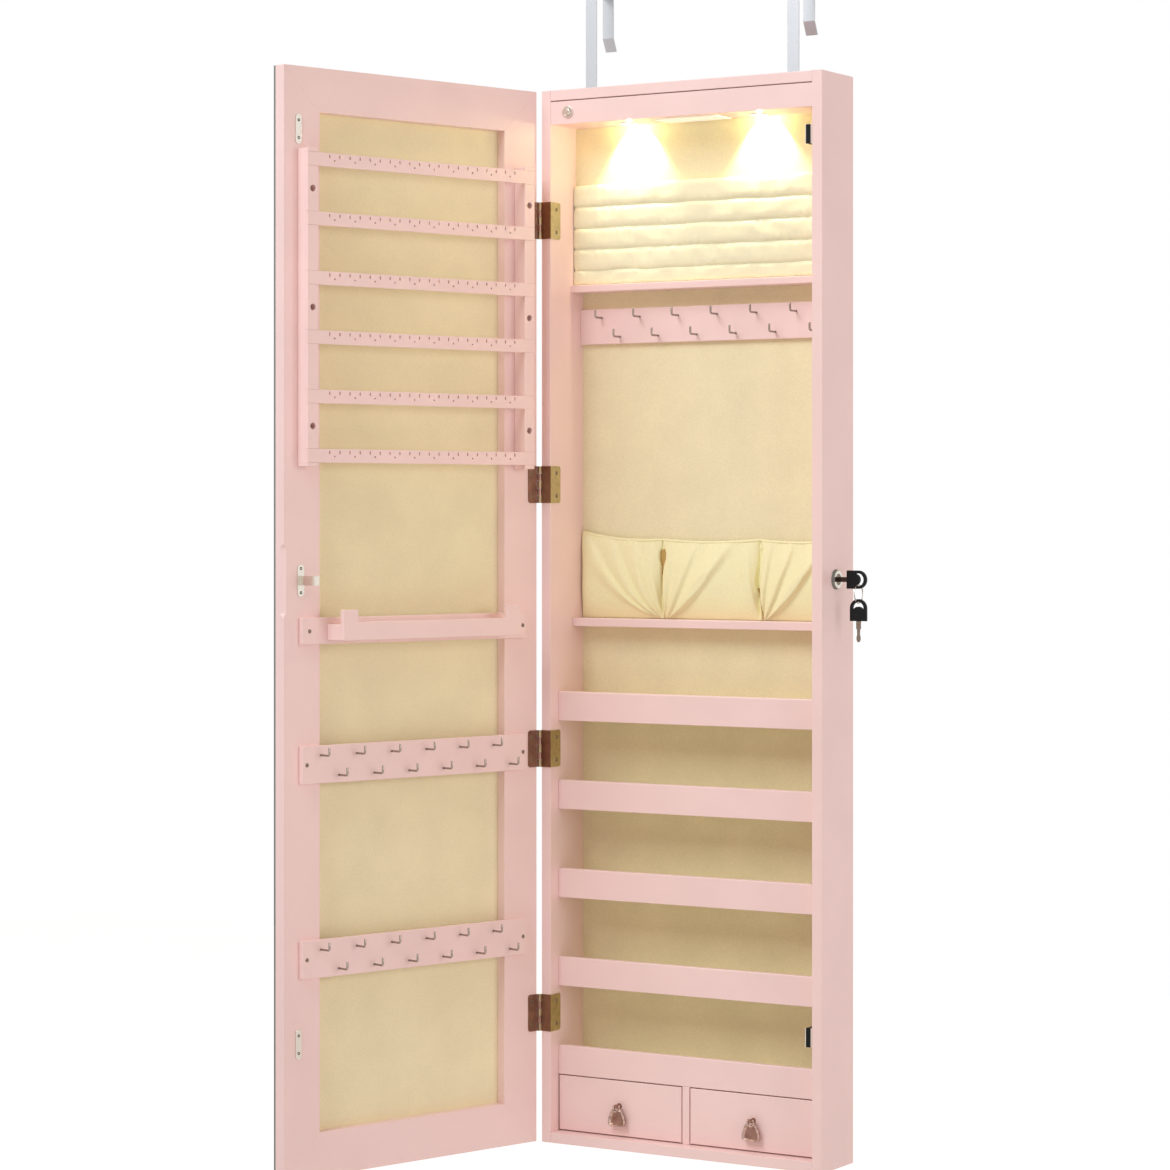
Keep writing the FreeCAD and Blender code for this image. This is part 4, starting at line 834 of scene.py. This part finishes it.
def door_screw(x, z, out, width, domed=0.5):
    """Screw head on the inner side of the closed door, so far out from it."""
    return placed(screw_head(width, domed), (x, DOOR_IN + out, z), TO_BACK)


def on_door(name, parts, finish):
    """Parts of the closed door as one object, turned open with it."""
    verts, faces = joined(parts)
    return shape(name, (opened(verts), faces), finish, "door")


class CABINET_OT_screws(Maker, bpy.types.Operator):
    """Screws of the door's fittings, the hinges, the strikes and the battery cover"""
    bl_idname = "cabinet.screws"
    bl_label = "Screws"

    def build(self, scene, made):
        small = scene.cabinet_sizes.screw
        rows = ((HOLDER_SCREWS, 6.2 * MM), (BRACELET_SCREWS, small), (RAIL_SCREWS, small))
        on_door("door_screws", [door_screw(x * MM, z * MM, out * MM, width)
                                for (xs, zs, out), width in rows for z in zs for x in xs],
                made["blade"])
        strikes = [door_screw(x * MM, (z + side * gap) * MM, 1.2 * MM, 3.4 * MM, 0.04)
                   for x, z, gap in STRIKES for side in (-1, 1)]
        # Black heads: painted shade of the screw holes in the strikes.
        on_door("strike_screws", strikes, made["black"])
        on_door("hinge_door_screws", [door_screw(-171.0 * MM, z, 1.0 * MM, 4.8 * MM, 0.03)
                                      for z in HINGE_SCREWS], made["blade"])
        head = screw_head(4.8 * MM, 0.35)
        leaf = [placed(head, (-167.0 * MM, -63.5 * MM, z), TO_RIGHT) for z in HINGE_SCREWS]
        shape("hinge_case_screws", joined(leaf), made["blade"], "case")
        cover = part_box("battery_cover")[0]
        place = (cover.x + 3.9 * MM, LAMP_Y, cover.z - 0.9 * MM)
        shape("battery_cover_screw", placed(screw_head(3.0 * MM, 0.2), place, DOWNWARD),
              made["steel"], "battery_lid")


# ---- pulls ----
# Right half of the pull's outline from its top to its foot, in mm from the pivot.
PULL_EDGE = ((0, -4.6), (2.3, -4.4), (3.0, -2.7), (4.6, -2.3), (6.9, -4.6), (8.7, -8.0),
             (10.2, -12.0), (11.2, -16.4), (11.45, -19.4), (10.6, -21.6), (7.6, -22.4),
             (3.6, -22.5), (0, -22.3))
PULL_SIDES = 96
PULL_DISH = slice(PULL_SIDES * 9, PULL_SIDES * 13)   # faces of the dish inside the rim


def pull_outline():
    """Closed outline of the pull: its corner points, evenly spaced and rounded by a mean."""
    right = np.array(PULL_EDGE)
    loop = np.vstack([right, right[-2::-1] * (-1, 1)])
    run = np.concatenate([[0], np.cumsum(np.linalg.norm(np.diff(loop, axis=0), axis=1))])
    at = np.linspace(0, run[-1], PULL_SIDES, endpoint=False)
    line = np.stack([np.interp(at, run, loop[:, i]) for i in (0, 1)], -1)
    for _ in range(3):
        line = (np.roll(line, 1, 0) + 2 * line + np.roll(line, -1, 0)) / 4
    return line * MM


def pull_drop():
    """Cast drop of a pull about its pivot: a dished bell with a rounded rim, and two eyes.

    Rings shrink the outline towards the point 15 mm under the pivot. Going in from the
    back's edge, the face rises round the rim, sinks into the dish and swells to the middle.
    """
    middle = np.array([0, -15.0]) * MM
    line = pull_outline() - middle
    share = np.array([0.0, 0.9, 0.98, 1.0, 0.98, 0.93, 0.87, 0.8, 0.74, 0.69, 0.6, 0.4, 0.2, 0.0])
    front = np.array([1.6, 1.6, 1.1, 0.2, -0.8, -1.6, -1.8, -1.5, -0.5, 0.1, 0.3, 0.0,
                      -0.3, -0.4]) * MM
    flat = middle + share[:, None, None] * line
    parts = [patch(np.stack([flat[..., 0], np.broadcast_to(front[:, None], flat.shape[:2]),
                             flat[..., 1]], -1))]
    eye = lathe([(0, -0.8 * MM), (1.6 * MM, -0.8 * MM), (1.9 * MM, -0.5 * MM),
                 (1.9 * MM, 0.5 * MM), (1.6 * MM, 0.8 * MM), (0, 0.8 * MM)], 24)
    for sign in (-1, 1):
        parts.append(placed(eye, (sign * 3.45 * MM, 0, 0), TO_RIGHT))
        neck = np.array([[3.45, 0, -0.6], [3.5, 0, -3.0], [4.0, 0, -5.5]]) * (sign, 1, 1) * MM
        parts.append(tube(neck, np.array([1.1, 1.2, 1.3]) * MM, (1, 0, 0), 10))
    return joined(parts)


class CABINET_OT_pulls(Maker, bpy.types.Operator):
    """Cast bell-shaped drops of the two drawer pulls"""
    bl_idname = "cabinet.pulls"
    bl_label = "Drawer pulls"

    def build(self, scene, made):
        for side in ("left", "right"):
            name = "drawer_%s_pull" % side
            part = placed(pull_drop(), JOINTS[name + "_swing"]["pos_m"])
            # Rim in the pale finish, a painted highlight; the dish inside it in darker bronze.
            drop = shape(name + "_cast", part, made["rim"], "pull_" + side)
            drop.data.materials.append(made["bronze"])
            for face in drop.data.polygons[PULL_DISH]:
                face.material_index = 1
            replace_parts(drop, name)


# ---- battery cover ----
class CABINET_OT_cover(Maker, bpy.types.Operator):
    """Raised face of the battery cover, with softened edges and a painted glow"""
    bl_idname = "cabinet.cover"
    bl_label = "Battery cover"

    def build(self, scene, made):
        low, high = np.array(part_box("battery_cover"))
        middle = (low + high)[:2] / 2
        sides = SQUARE * ((high - low)[:2] / 2 - 1.2 * MM)
        rings = [np.hstack([middle + sides * share, np.full((4, 1), low[2] - drop * MM)])
                 for share, drop in ((1, -0.4), (1, 0.7), (0.985, 1.0), (0, 1.0))]
        # Its material carries a painted glow.
        shape("battery_cover_face", patch(np.array(rings)), made["cover"],
              "battery_lid", smooth=False)


# ---- hooks ----
def hook_path(reach, rise, bend):
    """L-shaped line: straight out, a quarter circle of the given radius, straight up."""
    turn = np.linspace(0, math.pi / 2, 7)
    bow = np.stack([0 * turn, reach - bend + bend * np.sin(turn), bend - bend * np.cos(turn)], -1)
    start = np.array([[0, -2 * MM, 0], [0, reach * 0.4, 0]])
    tip = np.array([[0, reach, rise - 0.5 * MM], [0, reach, rise - 0.1 * MM], [0, reach, rise]])
    return np.concatenate([start, bow, tip], 0)


def hooks(places, face, outward, wire):
    """Wire pegs standing out of a rail's face, with rounded tips."""
    path = hook_path(15.0 * MM, 7.5 * MM + wire / 2, 2.4 * MM)
    radius = np.full(len(path), wire / 2)
    radius[-2:] = (wire * 0.42, wire * 0.2)
    peg = tube(path * (1, outward, 1), radius, (1, 0, 0), 10)
    return joined([placed(peg, (x, face, z)) for x, z in places])


HOOK_SHIFT = 12.2 * MM       # each of a rail's two rows is shifted so far from its middle
DOOR_HOOKS_END = 133.8 * MM  # from the door's middle to the last hook of its rails


def hook_places(end, z, shift):
    """Two staggered rows of six pegs; the last of them is at the end's distance."""
    pitch = (end - HOOK_SHIFT) * 2 / 5
    rows = ((-shift, z + 10.0 * MM), (shift, z - 12.4 * MM))
    return [(side + (i - 2.5) * pitch, height) for side, height in rows for i in range(6)]


class CABINET_OT_hooks(Maker, bpy.types.Operator):
    """Nickel-plated wire hooks of the case rail and the two door rails"""
    bl_idname = "cabinet.hooks"
    bl_label = "Hooks"

    def build(self, scene, made):
        wire = scene.cabinet_sizes.hook_wire
        low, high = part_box("necklace_rail")
        places = hook_places(IN_X - 29.3 * MM, (low.z + high.z) / 2, HOOK_SHIFT)
        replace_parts(shape("necklace_hook_wires", hooks(places, low.y, -1, wire), made["nickel"],
                          "case"), "necklace_hooks")
        parts = [hooks(hook_places(DOOR_HOOKS_END, z * MM, -HOOK_SHIFT), DOOR_IN + 6 * MM, 1, wire)
                 for z in (-362.5, -153.0)]
        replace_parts(on_door("door_hook_wires", parts, made["nickel"]),
                    "door_hooks")


# ---- lamps ----
def lamp(scene, name, kind, power, code):
    """Light of a given power in watts and sRGB hex colour; returns its data and object."""
    data = bpy.data.lights.new(name, kind)
    data.energy = power
    data.color = linear(code)
    made = bpy.data.objects.new(data.name, data)
    scene.collection.objects.link(made)
    return data, made


def bulb(scene, kind, place, power, code):
    """Small light just under a lens; a beam leans back towards the ring pad."""
    data, made = lamp(scene, "lamp_" + kind.lower(), kind, power, code)
    data.shadow_soft_size = 2.0 * MM
    made.location = (*place, LIGHT_FLOOR[0].z - 2.6 * MM)
    made.rotation_euler = (math.radians(39), 0, 0)
    return data


class CABINET_OT_lamps(Maker, bpy.types.Operator):
    """Domed lens of each small lamp, and the warm light it throws on the ring pad"""
    bl_idname = "cabinet.lamps"
    bl_label = "Lamps"

    def build(self, scene, made):
        light = scene.cabinet_light
        dome = [(6.3 * MM * math.sin(a), 1.7 * MM * math.cos(a))
                for a in np.linspace(0, math.pi / 2, 8)]
        dome += [(6.3 * MM, -0.9 * MM), (0, -0.9 * MM)]
        parts = []
        for x in (-LAMP_X, LAMP_X):
            at = (x, LAMP_Y, LIGHT_FLOOR[0].z - 0.2 * MM)
            parts.append(placed(lathe(dome, 32), at, DOWNWARD))
            beam = bulb(scene, "SPOT", (x, PAD[0].y - 16 * MM), light.lamp_power, "FFF6CF")
            beam.spot_size = light.lamp_cone
            beam.spot_blend = 0.35
            bulb(scene, "POINT", (x, LAMP_Y), light.lamp_glow, "FFF5B8")
        lens = shape("lamp_lenses", joined(parts), made["lens"], "case")
        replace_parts(lens, "led_lenses")


# ---- stage ----
def add_camera(scene):
    """Level camera of long lens, with the shift that the photograph's framing needs."""
    data = bpy.data.cameras.new("camera")
    data.lens = 102.9
    data.sensor_width = 36
    data.shift_y = -0.0606
    data.clip_start = 0.05
    made = bpy.data.objects.new("camera", data)
    made.location = (1.862, -3.304, 0.117)
    made.rotation_euler = (math.radians(90), 0, math.radians(31.565))
    scene.collection.objects.link(made)
    scene.camera = made


def add_world(scene, light):
    """White to the camera, to mirrors and through glass; softer and warmer as a light."""
    world = bpy.data.worlds.new("studio")
    scene.world = world
    world.use_nodes = True
    tree = world.node_tree
    tree.nodes.clear()
    path = node(tree, "ShaderNodeLightPath")
    seen = maths(tree, "MAXIMUM", path.outputs["Is Camera Ray"], path.outputs["Is Glossy Ray"])
    seen = maths(tree, "MAXIMUM", seen, path.outputs["Is Transmission Ray"])
    tone = between(tree, seen, light.shade, (1, 1, 1))
    power = remap(tree, seen, light.world, 1.0)
    white = node(tree, "ShaderNodeBackground", {"Color": tone, "Strength": power})
    node(tree, "ShaderNodeOutputWorld", {"Surface": white.outputs[0]})


def add_floor(scene):
    """Room floor below the hung cabinet: a little white added for the camera makes it
    white where nothing shades it, and leaves its shadows. Mirrors see somewhat less."""
    made, tree, shader = material("studio_floor", linear("F4F4F4"), Roughness=0.9,
                                  Emission_Color=(1, 1, 1, 1))
    shade(tree, shader, noise(tree, 400), linear("F2F2F2"), linear("F6F6F6"))
    path = node(tree, "ShaderNodeLightPath")
    mirrored = maths(tree, "MULTIPLY", path.outputs["Is Glossy Ray"], 0.42)
    white = maths(tree, "MULTIPLY_ADD", path.outputs["Is Camera Ray"], 0.65, mirrored)
    tree.links.new(white, shader.inputs["Emission Strength"])
    mesh = bpy.data.meshes.new("floor")
    corners = np.hstack([SQUARE * 6.0, np.full((4, 1), FLOOR_Z)])
    mesh.from_pydata(corners.tolist(), [], [(0, 1, 2, 3)])
    mesh.materials.append(made)
    floor = bpy.data.objects.new("floor", mesh)
    scene.collection.objects.link(floor)


def add_area(scene, name, place, size, power, code):
    """Square soft light aimed at the cabinet's middle, unseen by the camera."""
    data, made = lamp(scene, name, "AREA", power, code)
    data.size = size
    made.location = place
    made.rotation_euler = (-Vector(place)).to_track_quat("-Z", "Y").to_euler()
    made.visible_camera = False


class CABINET_OT_stage(bpy.types.Operator):
    """Plain pale floor, white surroundings, soft studio light and the photograph's camera"""
    bl_idname = "cabinet.stage"
    bl_label = "Stage"

    def execute(self, context):
        scene = context.scene
        scene.view_settings.view_transform = "Standard"
        light = scene.cabinet_light
        add_camera(scene)
        add_world(scene, light)
        add_floor(scene)
        add_area(scene, "key", (-0.8, -2.6, 2.5), 1.9, light.key_power, "F4FAFF")
        add_area(scene, "fill", (3.0, -0.45, 0.4), 1.6, light.fill_power, "FFFFFF")
        return {"FINISHED"}


# ---- panel and registration ----
PROPERTIES = {"cabinet_colours": CabinetColours, "cabinet_sizes": CabinetSizes,
              "cabinet_light": CabinetLight}
OPERATORS = (CABINET_OT_stage, CABINET_OT_boards, CABINET_OT_ring_rolls, CABINET_OT_pouch,
             CABINET_OT_pulls, CABINET_OT_cover, CABINET_OT_hooks, CABINET_OT_screws,
             CABINET_OT_lamps)


class CABINET_PT_panel(bpy.types.Panel):
    """Lists the cabinet's settings and pieces in the 3D view's sidebar"""
    bl_idname = "CABINET_PT_panel"
    bl_label = "Jewelry mirror cabinet"
    bl_space_type = "VIEW_3D"
    bl_region_type = "UI"
    bl_category = "Cabinet"

    def draw(self, context):
        for group in PROPERTIES:
            settings = getattr(context.scene, group)
            column = self.layout.column(align=True)
            for name in settings.bl_rna.properties.keys():
                if name not in ("rna_type", "name"):
                    column.prop(settings, name)
        for operator in OPERATORS:
            self.layout.operator(operator.bl_idname)


CLASSES = (*PROPERTIES.values(), *OPERATORS, CABINET_PT_panel)


def register():
    for item in CLASSES:
        bpy.utils.register_class(item)
    for name, group in PROPERTIES.items():
        setattr(bpy.types.Scene, name, PointerProperty(type=group))


def unregister():
    for name in PROPERTIES:
        delattr(bpy.types.Scene, name)
    for item in reversed(CLASSES):
        bpy.utils.unregister_class(item)


def main():
    """Makes every piece in order."""
    register()
    for operator in OPERATORS:
        group, name = operator.bl_idname.split(".")
        getattr(getattr(bpy.ops, group), name)()


if __name__ == "__main__":
    main()
